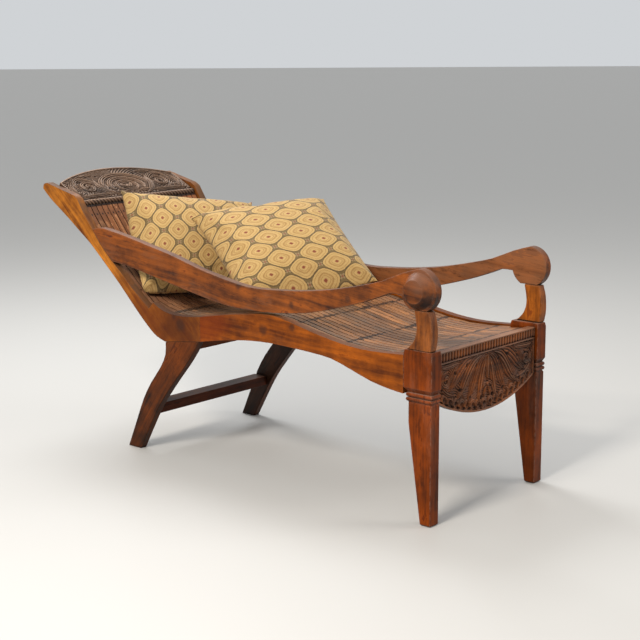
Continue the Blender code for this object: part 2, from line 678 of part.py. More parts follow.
def seat_battens():
    """Battens under the seat slats, let into both seat rails."""
    for number, share in enumerate(SEAT_BATTEN_PLACES):
        centre, along = path_frame(seat_path, BLOCK_DEPTH + share * RAIL_LENGTH)
        frame = section_frame(centre - Vector((0, GAP)), along)
        name = f"seat_batten_{number + 1}"
        bar = cross_bar(name, (-BATTEN_WIDTH / 2, -BATTEN_THICKNESS), (BATTEN_WIDTH / 2, 0),
                        INNER_HALF - GAP, SLAT_TEAK, frame)
        batten_tenons(bar, name, frame, rails)


def bar_tenons(bar, carriers, low, high, half=INNER_HALF, length=TENON_LENGTH):
    """Tenons on both ends of a cross bar, with Y and Z limits given."""
    for (_, side), carrier in zip(SIDES, carriers):
        span = x_span(side, half - TENON_ROOT, half + length)
        tenon_joint(bar, carrier, (span[0], low[0], low[1]), (span[1], high[0], high[1]))


def lifted_off(path, point, clearance):
    """A side-view point moved out of a path's face if it lies closer to it than the clearance."""
    nearest, square, least = None, None, None
    for start, end in zip(path, path[1:]):
        along = end - start
        share = min(max((point - start).dot(along) / along.length_squared, 0.0), 1.0)
        foot = start + along * share
        if least is None or (point - foot).length < least:
            nearest, least = foot, (point - foot).length
            square = Vector((-along.y, along.x)).normalized()
    if (point - nearest).dot(square) < clearance:
        return nearest + square * clearance
    return point


def eased(value, limit):
    """A value drawn in smoothly so that it never reaches a limit."""
    free = limit * PILLOW_FREE_SHARE
    if abs(value) <= free:
        return value
    return math.copysign(free + (limit - free) * math.tanh((abs(value) - free) / (limit - free)), value)


def pillow(name, corners, sag, left_limit, right_limit, under=None):
    """A loose square pillow with a crown and drawn-in sides, flat only where it rests."""
    top_left, top_right, bottom_right, bottom_left = (
        Vector((x * INNER_HALF, SEAT_DEPTH + y, SEAT_HEIGHT + z)) for x, y, z in corners)
    facing = (top_right - bottom_left).cross(top_left - bottom_right).normalized()
    working = bmesh.new()
    bmesh.ops.create_grid(working, x_segments=PILLOW_CELLS, y_segments=PILLOW_CELLS, size=1.0)
    rim = {v for e in working.edges if e.is_boundary for v in e.verts}
    drawn = 2 * PILLOW_DRAWN_IN / (top_left - bottom_left).length
    middle = []
    for vertex in working.verts:
        u, v = vertex.co.x, vertex.co.y
        across = (1 + u * (1 - drawn * (1 - v * v))) / 2
        upward = (1 + v * (1 - drawn * (1 - u * u))) / 2
        place = bottom_left.lerp(bottom_right, across).lerp(top_left.lerp(top_right, across), upward)
        place.z -= sag * (1 - u * u) * (1 - upward) ** 2
        fullness = max(0.0, (1 - abs(u) ** PILLOW_CROWN) * (1 - abs(v) ** PILLOW_CROWN)) ** PILLOW_FULLNESS
        middle.append((place, facing * (fullness * PILLOW_THICKNESS / 2)))
    back = bmesh.ops.duplicate(working, geom=working.verts[:] + working.edges[:] + working.faces[:])
    back_of = back["vert_map"]
    working.verts.index_update()
    front_verts = list(working.verts)[:len(middle)]
    for vertex, (place, swell) in zip(front_verts, middle):
        vertex.co = place + swell
        back_of[vertex].co = place - swell
    bmesh.ops.weld_verts(working, targetmap={back_of[v]: v for v in rim})
    for corner in [v for v in rim if len(v.link_edges) == 2]:
        for face in list(corner.link_faces):
            opposite = next(v for v in face.verts if v is not corner and v not in rim)
            bmesh.utils.face_split(face, corner, opposite)
    for vertex in working.verts:
        x = eased(vertex.co.x, left_limit if vertex.co.x < 0 else right_limit)
        point = Vector((vertex.co.y, vertex.co.z))
        over_plank = abs(x) > INNER_HALF - PLANK
        for _ in range(2):
            point = lifted_off(plank_path if over_plank else slat_path, point, PILLOW_CLEARANCE)
        vertex.co = (x, point.x, point.y)
        if under:
            place, normal, _, _ = under.find_nearest(vertex.co)
            if (vertex.co - place).dot(normal) < 2 * PILLOW_CLEARANCE:
                vertex.co = place + normal * 2 * PILLOW_CLEARANCE
    bmesh.ops.recalc_face_normals(working, faces=working.faces)
    working.normal_update()
    surface = BVHTree.FromBMesh(working)
    centre = (top_left + top_right + bottom_right + bottom_left) / 4
    bmesh.ops.translate(working, verts=working.verts, vec=-centre)
    mesh = bpy.data.meshes.new(name)
    working.to_mesh(mesh)
    working.free()
    link(name, mesh, CLOTH, Matrix.Translation(centre))
    for polygon in mesh.polygons:
        polygon.use_smooth = True
    return surface


for side_label, side_sign in SIDES:
    leg = front_leg(side_label, side_sign)
    rail = seat_rail(side_label, side_sign)
    stile = back_stile(side_label, side_sign)
    sabre = rear_leg(side_label, side_sign)
    arm = armrest(side_label, side_sign)
    post = arm_post(side_label, side_sign)
    middle = HALF_WIDTH - PLANK / 2
    tongue = x_span(side_sign, middle - TENON_THICKNESS / 2, middle + TENON_THICKNESS / 2)
    rail_mid = SEAT_HEIGHT + (RAIL_TOP[0][1] + RAIL_BOTTOM[-1][1]) / 2
    tenon_joint(rail, leg, (tongue[0], BLOCK_DEPTH - TENON_LENGTH, rail_mid - RAIL_TENON_HEIGHT / 2),
                (tongue[1], BLOCK_DEPTH + TENON_ROOT, rail_mid + RAIL_TENON_HEIGHT / 2))
    knee_mid = SEAT_HEIGHT + (KNEE_TOP[0][1] + RAIL_HEEL[1]) / 2
    tenon_joint(rail, stile, (tongue[0], SEAT_DEPTH - TENON_ROOT, knee_mid - KNEE_TENON_HEIGHT / 2),
                (tongue[1], SEAT_DEPTH + LONG_TENON, knee_mid + KNEE_TENON_HEIGHT / 2))
    sabre_y = SEAT_DEPTH + KNEE_HEEL[0] / 2
    sabre_top = SEAT_HEIGHT + (RAIL_HEEL[1] + KNEE_HEEL[1]) / 2
    tenon_joint(sabre, stile, (tongue[0], sabre_y - SABRE_TENON_DEPTH / 2, sabre_top - 2 * TENON_ROOT),
                (tongue[1], sabre_y + SABRE_TENON_DEPTH / 2, sabre_top + LONG_TENON))
    post_x = HALF_WIDTH - POST_WIDTH / 2
    peg = x_span(side_sign, post_x - TENON_THICKNESS / 2, post_x + TENON_THICKNESS / 2)
    tenon_joint(post, leg, (peg[0], PEG_FRONT, BLOCK_TOP - TENON_LENGTH),
                (peg[1], PEG_BACK, BLOCK_TOP + TENON_ROOT))
    tenon_joint(post, arm, (peg[0], PEG_FRONT, POST_TOP - TENON_ROOT),
                (peg[1], PEG_BACK, POST_TOP + TENON_LENGTH))
    end_z = SEAT_HEIGHT + (ARM_END_TOP_Z + ARM_END_BOTTOM_Z) / 2
    end_y = depth_at(stile_front_line, end_z)
    tenon_joint(arm, stile, (tongue[0], end_y - 3 * TENON_ROOT, end_z - ARM_TENON_HEIGHT / 2),
                (tongue[1], end_y + TENON_LENGTH, end_z + ARM_TENON_HEIGHT / 2))

named = bpy.data.objects
legs = (named["front_leg_left"], named["front_leg_right"])
rails = (named["seat_rail_left"], named["seat_rail_right"])
stiles = (named["back_stile_left"], named["back_stile_right"])
sabres = (named["rear_leg_left"], named["rear_leg_right"])

apron = front_apron()
bar_tenons(apron, legs, (apron_front + TENON_SHOULDER, apron_top - APRON_TENON[1]),
           (apron_back - TENON_SHOULDER, apron_top - APRON_TENON[0]), half=HALF_WIDTH - BLOCK_WIDTH)
crest = crest_rail()
for (_, side_sign), stile in zip(SIDES, stiles):
    crest_tongue = x_span(side_sign, INNER_HALF - TENON_ROOT, INNER_HALF + TENON_LENGTH)
    tenon_joint(crest, stile, (crest_tongue[0], CREST_TENON[0], -CREST_THICKNESS * 0.7),
                (crest_tongue[1], CREST_TENON[1], -CREST_THICKNESS * 0.3), CREST_FRAME)

seat_slats()
back_slats()
seat_battens()

cleat_back = apron_back + GAP + BATTEN_WIDTH
cleat_top = min(height_at(shifted(seat_path, SLAT_THICKNESS), y) for y in (apron_back, cleat_back)) - GAP
cross_bar("front_cleat", (apron_back + GAP, cleat_top - CLEAT_HEIGHT), (cleat_back, cleat_top),
          apron_half, SLAT_TEAK)

rear_rail_front = SEAT_DEPTH + REAR_RAIL_OFFSET
rear_rail_back = rear_rail_front + REAR_RAIL_THICKNESS
seat_underside = shifted(seat_path, SLAT_THICKNESS)
rear_rail_top = min(height_at(seat_underside, y) for y in (rear_rail_front, rear_rail_back)) - GAP
rear_rail = cross_bar("rear_rail", (rear_rail_front, SEAT_HEIGHT - REAR_RAIL_DROP),
                      (rear_rail_back, rear_rail_top), INNER_HALF - GAP, SLAT_TEAK)
bar_tenons(rear_rail, stiles, (rear_rail_front + TENON_SHOULDER, rear_rail_top - REAR_RAIL_TENON[1]),
           (rear_rail_back - TENON_SHOULDER, rear_rail_top - REAR_RAIL_TENON[0]))

knee_front = SEAT_DEPTH + KNEE_RAIL_OFFSET - KNEE_RAIL_WIDTH / 2
knee_back = knee_front + KNEE_RAIL_WIDTH
back_underside = shifted(back_path, SLAT_THICKNESS)
knee_top = min(height_at(seat_underside, knee_front), height_at(back_underside, knee_back),
               seat_underside[-1].y, back_underside[0].y) - GAP
knee_rail = cross_bar("knee_rail", (knee_front, knee_top - KNEE_RAIL_HEIGHT), (knee_back, knee_top),
                      INNER_HALF - GAP, SLAT_TEAK)
bar_tenons(knee_rail, stiles, (knee_front + TENON_SHOULDER, knee_top - KNEE_RAIL_TENON[1]),
           (knee_back - TENON_SHOULDER, knee_top - KNEE_RAIL_TENON[0]))

leg_front_line = smooth_run([(share, dy) for dy, share in reversed(LEG_FRONT_EDGE)])
stretcher_share = STRETCHER_Z / (SEAT_HEIGHT + RAIL_HEEL[1])
stretcher_front = SEAT_DEPTH + height_at(leg_front_line, stretcher_share) + STRETCHER_SETBACK
stretcher_low = STRETCHER_Z - STRETCHER_HEIGHT / 2
stretcher = cross_bar("rear_stretcher", (stretcher_front, stretcher_low),
                      (stretcher_front + STRETCHER_DEPTH, stretcher_low + STRETCHER_HEIGHT),
                      INNER_HALF - GAP, RED_TEAK, arris=ARRIS)
bar_tenons(stretcher, sabres, (stretcher_front + TENON_SHOULDER, STRETCHER_Z - STRETCHER_TENON_HEIGHT / 2),
           (stretcher_front + STRETCHER_DEPTH - TENON_SHOULDER, STRETCHER_Z + STRETCHER_TENON_HEIGHT / 2))

crest_edge = crest_foot + crest_along * (CREST_SIDE_HEIGHT + CREST_RISE)
slat_path = seat_path[:-1] + back_path + [crest_foot, crest_edge]
plank_path = rail_top_line + knee_top_line[1:] + [Vector(back_point(KNEE_NOTCH))] + stile_front_line
inside = INNER_HALF - PILLOW_CLEARANCE
over_side = PILLOW_OVERHANG * HALF_WIDTH
rear_surface = pillow("pillow_back", REAR_PILLOW_CORNERS, REAR_PILLOW_SAG, over_side, inside)
pillow("pillow_front", FRONT_PILLOW_CORNERS, FRONT_PILLOW_SAG, inside, over_side, rear_surface)

bpy.context.view_layer.update()
solid_low, solid_high = [], []
for piece in parts.objects:
    if piece.type == "MESH":
        solid = piece.evaluated_get(bpy.context.evaluated_depsgraph_get())
        corners = [solid.matrix_world @ Vector(c) for c in solid.bound_box]
        solid_low.append(min(c.y for c in corners))
        solid_high.append(max(c.y for c in corners))
chair_origin.location.y = -(min(solid_low) + max(solid_high)) / 2
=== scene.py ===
"""The looks of a planters chair: carved wood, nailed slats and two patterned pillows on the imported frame.

Metres, +Z up, in the frame's own axes. The chair faces -Y and its near side is -X.
"""
import math

import bmesh
import bpy
import numpy as np
from mathutils import Matrix, Vector
from mathutils.bvhtree import BVHTree


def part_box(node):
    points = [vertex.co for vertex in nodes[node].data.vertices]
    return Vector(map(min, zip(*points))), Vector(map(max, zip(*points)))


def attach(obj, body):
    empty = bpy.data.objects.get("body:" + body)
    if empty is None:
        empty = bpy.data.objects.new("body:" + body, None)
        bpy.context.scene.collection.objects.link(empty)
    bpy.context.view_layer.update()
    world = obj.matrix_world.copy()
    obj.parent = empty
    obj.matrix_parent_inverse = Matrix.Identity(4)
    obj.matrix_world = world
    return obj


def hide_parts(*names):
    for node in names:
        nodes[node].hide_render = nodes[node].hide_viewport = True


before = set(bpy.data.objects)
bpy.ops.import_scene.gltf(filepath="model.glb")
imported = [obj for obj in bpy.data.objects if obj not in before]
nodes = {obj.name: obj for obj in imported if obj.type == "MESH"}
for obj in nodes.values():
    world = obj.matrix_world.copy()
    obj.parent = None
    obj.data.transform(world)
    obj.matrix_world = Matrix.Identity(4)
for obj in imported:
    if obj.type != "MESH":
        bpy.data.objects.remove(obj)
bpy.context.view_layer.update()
scene = bpy.context.scene

# Places taken from the frame
FRONT_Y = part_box("front_leg_left")[0].y
BLOCK_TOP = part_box("front_leg_left")[1].z
HALF_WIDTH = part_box("seat_rail_right")[1].x
INNER_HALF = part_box("seat_rail_right")[0].x
SLAT_COUNT = 22
SLAT_GAP = 0.004
SLAT_PITCH = 2 * (INNER_HALF - SLAT_GAP / 2) / SLAT_COUNT

# Camera
CAMERA_AT = (-3.2281, FRONT_Y - 2.2177, 1.3220)
CAMERA_YAW = math.radians(48.43)
CAMERA_PITCH = math.radians(-11.35)
CAMERA_ROLL = math.radians(-0.30)
CAMERA_LENS = 79.6
CAMERA_SENSOR = 36.0


def rgb(red, green, blue):
    """A colour given in display values from 0 to 255, as the shaders take it."""
    shares = [value / 255 for value in (red, green, blue)]
    return (*[s / 12.92 if s <= 0.04045 else ((s + 0.055) / 1.055) ** 2.4 for s in shares], 1.0)


class Paint:
    """A material and short calls that add nodes to it and wire them."""

    def __init__(self, name):
        self.material = bpy.data.materials.new(name)
        self.material.use_nodes = True
        self.tree = self.material.node_tree
        self.shader = self.tree.nodes["Principled BSDF"]

    def feed(self, socket, value):
        if isinstance(value, bpy.types.NodeSocket):
            self.tree.links.new(value, socket)
        else:
            socket.default_value = value

    def node(self, kind, inputs, **settings):
        made = self.tree.nodes.new("ShaderNode" + kind)
        for key, value in settings.items():
            setattr(made, key, value)
        for key, value in inputs.items():
            self.feed(made.inputs[key], value)
        return made

    def math(self, operation, a, b=0.0, c=0.0):
        return self.node("Math", {0: a, 1: b, 2: c}, operation=operation).outputs[0]

    def vector(self, operation, a, b):
        return self.node("VectorMath", {0: a, 1: b}, operation=operation).outputs[0]

    def span(self, operation, a, b):
        """The number that two vectors give, such as their distance."""
        return self.node("VectorMath", {0: a, 1: b}, operation=operation).outputs[1]

    def part(self, vector, axis):
        """One of a vector's three numbers."""
        return self.node("SeparateXYZ", {0: vector}).outputs[axis]

    def fit(self, value, low, high, to_low=0.0, to_high=1.0):
        """A value carried from one range to another, held inside it."""
        return self.node("MapRange", {0: value, 1: low, 2: high, 3: to_low, 4: to_high},
                         interpolation_type="SMOOTHSTEP").outputs[0]

    def mix(self, share, a, b, blend="MIX"):
        mixed = self.node("Mix", {0: share, 6: a, 7: b}, data_type="RGBA", blend_type=blend)
        return mixed.outputs[2]

    def noise(self, vector, scale, detail=4.0, roughness=0.6):
        inputs = {"Vector": vector, "Scale": scale, "Detail": detail, "Roughness": roughness}
        return self.node("TexNoise", inputs).outputs[0]

    def ramp(self, value, *stops):
        """Colours along a value, from stops whose places rise."""
        made = self.node("ValToRGB", {0: value})
        elements = made.color_ramp.elements
        for place, _ in stops[2:]:
            elements.new(place)
        for element, (place, colour) in zip(elements, stops):
            element.position, element.color = place, colour
        return made.outputs[0]

    def mapped(self, vector, turn=(0, 0, 0), scale=(1, 1, 1)):
        return self.node("Mapping", {"Vector": vector, "Rotation": turn, "Scale": scale}).outputs[0]


# The wood's figures: waves to the metre across the grain, along it and across it again, and then the detail
# and the roughness of the noise
STREAKS = ((75, 3.2, 75), 5.0, 0.62)
BANDS = ((26, 1.1, 26), 3.0, 0.55)
PORES = ((900, 22, 900), 2.0, 0.5)
SCUFFS = ((16, 5, 16), 6.0, 0.7)
MARKS = ((60, 13, 60), 6.0, 0.78)
BLOTCHES = 9.0
RUB_PATCHES = 60.0
STAIN_PATCHES = 70.0

# The grain's swirls: waves to the metre, how they are drawn out along the grain, and how far they push it
SWIRLS = 7.0
SWIRL_DRAWN = (1, 0.5, 1)
SWIRL_REACH = 0.02

# How far from one another the slats' grains are taken
SLAT_GRAINS = (9, 9, 9)

# How much each figure counts in the grain's tone, and where the tone turns from deep to light
BAND_SHARE = 0.45
STREAK_SHARE = 0.40
BLOTCH_SHARE = 0.55
TONE_SHIFT = 0.125
DEEP_TONE = 0.42
LIGHT_TONE = 0.70
LINE_TONE = 0.701

# Ranges: the low and the high of what is measured, and the share of a coat that each gives
PORES_SHOW = (0.52, 0.70, 0.0, 0.42)
# Painted shade on the slats beside the near rail, as in the shadow of the rail and arm
NEAR_SLATS_SHADE = (-0.25, -0.12, 0.70, 1.0)
WARM_SLATS = (0.70, 0.95, 0.0, 0.6)
# Painted light and shade on the faces that look at the chair's middle: how far they face it, and the grain
# bands that vary it
INSIDE_FACES = (-0.18, -0.04)
INSIDE_BANDS = (0.3, 0.6, 0.5, 1.0)
# Painted shade on the faces that look down: from which facing to which, and what share of their colour stays
UNDERSIDES_SHADE = (-0.90, 0.20, 0.35, 1.0)
EDGES_RUBBED = (0.01, 0.16, 0.0, 0.75)
RUBBED_PATCHES = (0.35, 0.6)
# The upper faces' dust and painted sheen: how far it spreads past where it starts, and its patches
DUST_AND_SHEEN_SPREAD = 0.5
DUST_AND_SHEEN_PATCHES = (0.25, 0.65, 0.35, 1.0)
SCUFFS_SHOW = (0.52, 0.66)
MARKS_SHOW = (0.54, 0.66)
# Painted shade with some dirt in the corners, by how open a place is and how far that is looked for
SHADED_CORNERS = (0.30, 0.85)
CORNER_REACH = 0.012
# A carving's painted highlight on its ridges and painted shade in its grooves and pits, by how deep a point
# lies
LIT_RIDGES = (0.02, 0.20, 0.25, 0.0)
SHADED_GROOVES = (0.25, 0.95)
SHADED_PITS = (0.93, 1.0, 0.0, 0.7)
RED_SHARE = 0.8
TOP_SHADE = 0.93

# A patch, in shares of its radius: how ragged its rim is, and where it begins and ends to fade
PATCH_SHARE = 0.62
PATCH_RAGGED = 1.6
PATCH_FADES = (0.35, 1.1)

# What lies on the wood, and the painted shade in its corners, grooves and pits
TAUPE = rgb(146, 110, 86)
RED_FOOT = rgb(100, 43, 4)
WARM_SLAT = rgb(176, 98, 40)
DIRT_AND_SHADE = rgb(26, 15, 10)
GROOVE_SHADE = rgb(20, 12, 8)
PIT_SHADE = rgb(12, 7, 5)
SHADE = rgb(14, 7, 4)
STAIN = rgb(34, 24, 19)
IRON = rgb(14, 12, 12)

# Nails, and how a stain spreads from their row: its width, how far it wanders and how much each slat differs
NAIL_RADIUS = 0.0022
NAIL_RIM = 1.2
STAIN_WIDTH = 0.007
STAIN_WANDER = 0.030
STAIN_START = -0.018
STAIN_BY_SLAT = 0.010

# The wood's fine relief and how its roughness varies
PORE_DEPTH = -0.35
RELIEF_STRENGTH = 0.35
RELIEF_HEIGHT = 0.0012
STREAK_ROUGH = 0.22
BLOTCH_ROUGH = 0.12
ROUGH_SHIFT = 0.08


class Wood(Paint):
    """Oiled, worn teak, built up coat by coat. Its grain runs along Y once the coordinates are turned."""

    def __init__(self, name, tones, turn, swirl, figure, by_slat):
        super().__init__(name)
        self.deep, line, light = tones
        self.place = self.node("TexCoord", {}).outputs["Object"]
        self.x, self.y, self.z = (self.part(self.place, axis) for axis in range(3))
        self.normal = self.node("NewGeometry", {}).outputs["Normal"]
        self.up = self.part(self.normal, 2)
        grained = self.place
        if by_slat:
            number = self.math("FLOOR", self.math("DIVIDE", self.x, SLAT_PITCH))
            own = self.node("TexWhiteNoise", {"W": number}, noise_dimensions="1D")
            self.own, self.own_three = own.outputs
            own_place = self.vector("MULTIPLY", self.own_three, SLAT_GRAINS)
            grained = self.vector("ADD", self.place, own_place)
        grained = self.mapped(grained, turn)
        swirls = {"Vector": self.mapped(grained, scale=SWIRL_DRAWN), "Scale": SWIRLS, "Detail": 2.0}
        swirls = self.node("TexNoise", swirls).outputs[1]
        swirls = self.vector("MULTIPLY", swirls, (SWIRL_REACH * swirl,) * 3)
        self.bent = self.vector("ADD", grained, swirls)
        self.streak = self.grain(*STREAKS)
        self.band = self.grain(*BANDS)
        self.pore = self.grain(*PORES)
        self.blotch = self.noise(self.place, BLOTCHES)
        tone = self.math("MULTIPLY", self.streak, STREAK_SHARE * figure)
        tone = self.math("SUBTRACT", self.math("MULTIPLY_ADD", self.band, BAND_SHARE, tone), TONE_SHIFT)
        tone = self.math("MULTIPLY_ADD", self.blotch, BLOTCH_SHARE, tone)
        self.colour = self.ramp(tone, (DEEP_TONE, self.deep), (LIGHT_TONE, light), (LINE_TONE, line))
        self.coat(self.fit(self.pore, *PORES_SHOW), self.deep)

    def grain(self, scale, detail, roughness):
        """A noise drawn out along the grain."""
        return self.noise(self.mapped(self.bent, scale=scale), 1.0, detail, roughness)

    def coat(self, share, colour):
        """Lays a colour over what is there, by a share."""
        self.colour = self.mix(share, self.colour, colour)

    def dim(self, share):
        """Darkens what is there to a share of itself."""
        grey = self.node("CombineXYZ", {0: share, 1: share, 2: share}).outputs[0]
        self.colour = self.mix(1.0, self.colour, grey, "MULTIPLY")

    def vary_slats(self, spread):
        """Gives each slat its own brightness, paints shade on those beside the near rail, where the rail and
        arm shade them, and turns a few more orange.
        """
        bright = self.fit(self.own, 0.0, 1.0, 1.0 - spread, 1.0 + spread)
        self.dim(self.math("MULTIPLY", bright, self.fit(self.x, *NEAR_SLATS_SHADE)))
        self.coat(self.fit(self.part(self.own_three, 1), *WARM_SLATS), WARM_SLAT)

    def redden(self, low, high):
        """Turns a golden plank red towards its foot, from the higher height down to the lower."""
        self.coat(self.fit(self.z, low, high, RED_SHARE, 0.0), RED_FOOT)

    def paint_light_and_shade_inside(self, colour, share):
        """Paints a colour on the faces that look at the chair's middle: painted light where it is lighter
        than the wood, painted shade where it is darker.
        """
        facing = self.part(self.vector("MULTIPLY", self.normal, self.place), 0)
        share = self.fit(facing, *INSIDE_FACES, share, 0.0)
        self.coat(self.math("MULTIPLY", share, self.fit(self.band, *INSIDE_BANDS)), colour)

    def wear_off_and_sheen(self, worn, wear_and_sheen, dust_and_sheen_from, weather, rub):
        """Rubs the edges, coats the upper faces with dust and a painted sheen, and scuffs the rest."""
        edge = self.node("Bevel", {"Radius": rub}, samples=4).outputs[0]
        edge = self.span("DOT_PRODUCT", edge, self.normal)
        rubbed = self.fit(self.math("SUBTRACT", 1.0, edge), *EDGES_RUBBED)
        patchy = self.fit(self.noise(self.place, RUB_PATCHES, 3.0), *RUBBED_PATCHES)
        rubbed = self.math("MULTIPLY", rubbed, patchy)
        # Dust and a painted sheen on the faces that look up
        dust_and_sheen = self.fit(self.up, dust_and_sheen_from, dust_and_sheen_from + DUST_AND_SHEEN_SPREAD)
        dust_and_sheen = self.math("MULTIPLY", dust_and_sheen, self.fit(self.blotch, *DUST_AND_SHEEN_PATCHES))
        scuffed = self.fit(self.grain(*SCUFFS), *SCUFFS_SHOW, 0.0, weather)
        film = self.math("MAXIMUM", self.math("MAXIMUM", rubbed, dust_and_sheen), scuffed)
        self.coat(self.math("MULTIPLY", film, wear_and_sheen), worn)

    def soil_and_shade(self, marked, grime_and_shade):
        """Adds dark marks along the grain, and darkens the corners as dirt and painted shade."""
        self.coat(self.fit(self.grain(*MARKS), *MARKS_SHOW, 0.0, marked), self.deep)
        # Painted shade with some dirt: the less open a place, the darker
        open_share = self.node("AmbientOcclusion", {"Distance": CORNER_REACH}, samples=6).outputs[1]
        self.coat(self.fit(open_share, *SHADED_CORNERS, grime_and_shade, 0.0), DIRT_AND_SHADE)

    def paint_carving_shade_and_highlight(self, worn, share):
        """Paints a highlight on a carving's ridges and shade in its grooves and pits."""
        cut = self.node("Attribute", {}, attribute_name="hollow").outputs[2]
        self.coat(self.fit(cut, *LIT_RIDGES), worn)
        self.coat(self.fit(cut, *SHADED_GROOVES, 0.0, share), GROOVE_SHADE)
        self.coat(self.fit(cut, *SHADED_PITS), PIT_SHADE)

    def patch(self, y, z, radius, colour):
        """A knot or a stain with a ragged rim, on the chair's near side."""
        ragged = radius * PATCH_RAGGED
        full, gone = (radius * share for share in PATCH_FADES)
        away = self.span("DISTANCE", self.place, (-HALF_WIDTH, y, z))
        away = self.math("SUBTRACT", away, ragged / 2)
        away = self.math("MULTIPLY_ADD", self.blotch, ragged, away)
        self.coat(self.fit(away, full, gone, PATCH_SHARE, 0.0), colour)

    def nail(self, rows, stained):
        """Puts a nail in each slat at each row along Y, with a ragged stain around the row."""
        across = self.math("SUBTRACT", self.math("FRACT", self.math("DIVIDE", self.x, SLAT_PITCH)), 0.5)
        across = self.math("MULTIPLY", across, SLAT_PITCH)
        spans = [self.math("ABSOLUTE", self.math("SUBTRACT", self.y, row)) for row in rows]
        along = spans[0]
        for span in spans[1:]:
            along = self.math("MINIMUM", along, span)
        away = self.math("MULTIPLY_ADD", across, across, self.math("MULTIPLY", along, along))
        away = self.math("SQRT", away)
        ragged = self.noise(self.place, STAIN_PATCHES, 2.0)
        ragged = self.math("MULTIPLY_ADD", ragged, STAIN_WANDER, STAIN_START)
        stain = self.math("SUBTRACT", along, ragged)
        stain = self.math("SUBTRACT", stain, self.math("MULTIPLY", self.own, STAIN_BY_SLAT))
        self.coat(self.fit(stain, 0.0, STAIN_WIDTH, stained, 0.0), STAIN)
        self.coat(self.fit(away, NAIL_RADIUS, NAIL_RADIUS * NAIL_RIM, 1.0, 0.0), IRON)

    def finish(self, shine, gloss):
        """Feeds the shader its colour, roughness and fine relief."""
        self.feed(self.shader.inputs["Base Color"], self.colour)
        rough = self.math("MULTIPLY_ADD", self.streak, STREAK_ROUGH, shine - ROUGH_SHIFT)
        rough = self.math("MULTIPLY_ADD", self.blotch, BLOTCH_ROUGH, rough)
        self.feed(self.shader.inputs["Roughness"], rough)
        height = self.math("MULTIPLY_ADD", self.pore, PORE_DEPTH, self.streak)
        inputs = {"Height": height, "Strength": RELIEF_STRENGTH, "Distance": RELIEF_HEIGHT}
        self.feed(self.shader.inputs["Normal"], self.node("Bump", inputs).outputs[0])
        self.shader.inputs["Specular IOR Level"].default_value = gloss


def wood(name, tones, turn, swirl=0.6, figure=1.0, by_slat=0.0, red_below=None, inside=None, worn=TAUPE,
         wear_and_sheen=0.45, dust_and_sheen_from=0.45, weather=0.15, rub=0.005, marked=0.35, grime_and_shade=0.8, carved=0.0, patches=(),
         shaded=None, nails=(), stained=0.8, shine=0.36, gloss=0.22):
    """One of the chair's woods. The coats go on in the order of these lines."""
    paint = Wood(name, tones, turn, swirl, figure, by_slat)
    if by_slat:
        paint.vary_slats(by_slat)
    if red_below:
        paint.redden(*red_below)
    if inside:
        paint.paint_light_and_shade_inside(*inside)
    # Painted shade: faces that look downward are darkened
    paint.dim(paint.fit(paint.up, *UNDERSIDES_SHADE))
    paint.wear_off_and_sheen(worn, wear_and_sheen, dust_and_sheen_from, weather, rub)
    paint.soil_and_shade(marked, grime_and_shade)
    if carved:
        paint.paint_carving_shade_and_highlight(worn, carved)
    for patch in patches:
        paint.patch(*patch)
    if shaded:
        paint.coat(paint.fit(paint.z, *shaded, 0.0, TOP_SHADE), SHADE)
    if nails:
        paint.nail(nails, stained)
    paint.finish(shine, gloss)
    return paint.material


def raked(degrees):
    """The turn for a plank whose grain rises at this angle towards the back."""
    return (-math.radians(degrees), 0, 0)


ACROSS = (0, 0, math.pi / 2)
UPRIGHT = (math.pi / 2, 0, 0)

# Where the slats are nailed to the battens, along Y
SEAT_NAIL_ROWS = (-0.770, -0.672, -0.489, -0.308, -0.132, 0.222)
BACK_NAIL_ROWS = (0.385, 0.618)

# The shade over the back slats' ends, just under the crest, from one height to the other
CREST_SHADE = (0.7675, 0.7710)

# Each wood's tones: the deep of the grain, the fine lines in its lightest places, and its light
GOLDEN = (rgb(88, 40, 8), rgb(158, 84, 18), rgb(206, 126, 38))
ORANGE = (rgb(76, 32, 4), rgb(124, 55, 4), rgb(166, 84, 12))
RED = (rgb(46, 18, 4), rgb(110, 50, 10), rgb(148, 76, 18))
LEG = (rgb(36, 11, 0), rgb(96, 36, 0), rgb(136, 58, 1))
POST = (rgb(50, 18, 2), rgb(130, 62, 12), rgb(170, 92, 22))
SABRE = (rgb(20, 7, 0), rgb(76, 31, 2), rgb(108, 50, 6))
# The stretcher's tones: the sabre legs' darkened, as painted shade under the seat
SHADED_BAR = (rgb(12, 3, 0), rgb(50, 18, 4), rgb(76, 30, 6))
BROWN = (rgb(28, 17, 10), rgb(94, 61, 36), rgb(158, 101, 52))
CHESTNUT = (rgb(30, 14, 7), rgb(122, 73, 40), rgb(180, 124, 82))
APRON = (rgb(46, 18, 3), rgb(108, 48, 8), rgb(150, 76, 16))
DARK = (rgb(22, 14, 9), rgb(64, 43, 29), rgb(98, 69, 48))

# Patches on the near side: where along Y, how high, how far they reach and their colour
KNOT = rgb(52, 30, 20)
BOSS = rgb(116, 76, 54)
RUSSET = rgb(104, 36, 2)
SMOKED = rgb(58, 23, 5)
RAIL_PATCHES = ((0.045, 0.452, 0.100, RUSSET), (-0.197, 0.471, 0.022, KNOT), (-0.314, 0.495, 0.013, KNOT))
STILE_PATCHES = ((0.168, 0.447, 0.118, SMOKED), (0.162, 0.439, 0.030, KNOT), (0.190, 0.462, 0.016, KNOT))
ARM_PATCHES = ((-0.311, 0.561, 0.013, KNOT), (-0.527, 0.604, 0.012, KNOT), (-0.097, 0.592, 0.014, KNOT),
               (-0.786, 0.692, 0.050, BOSS))

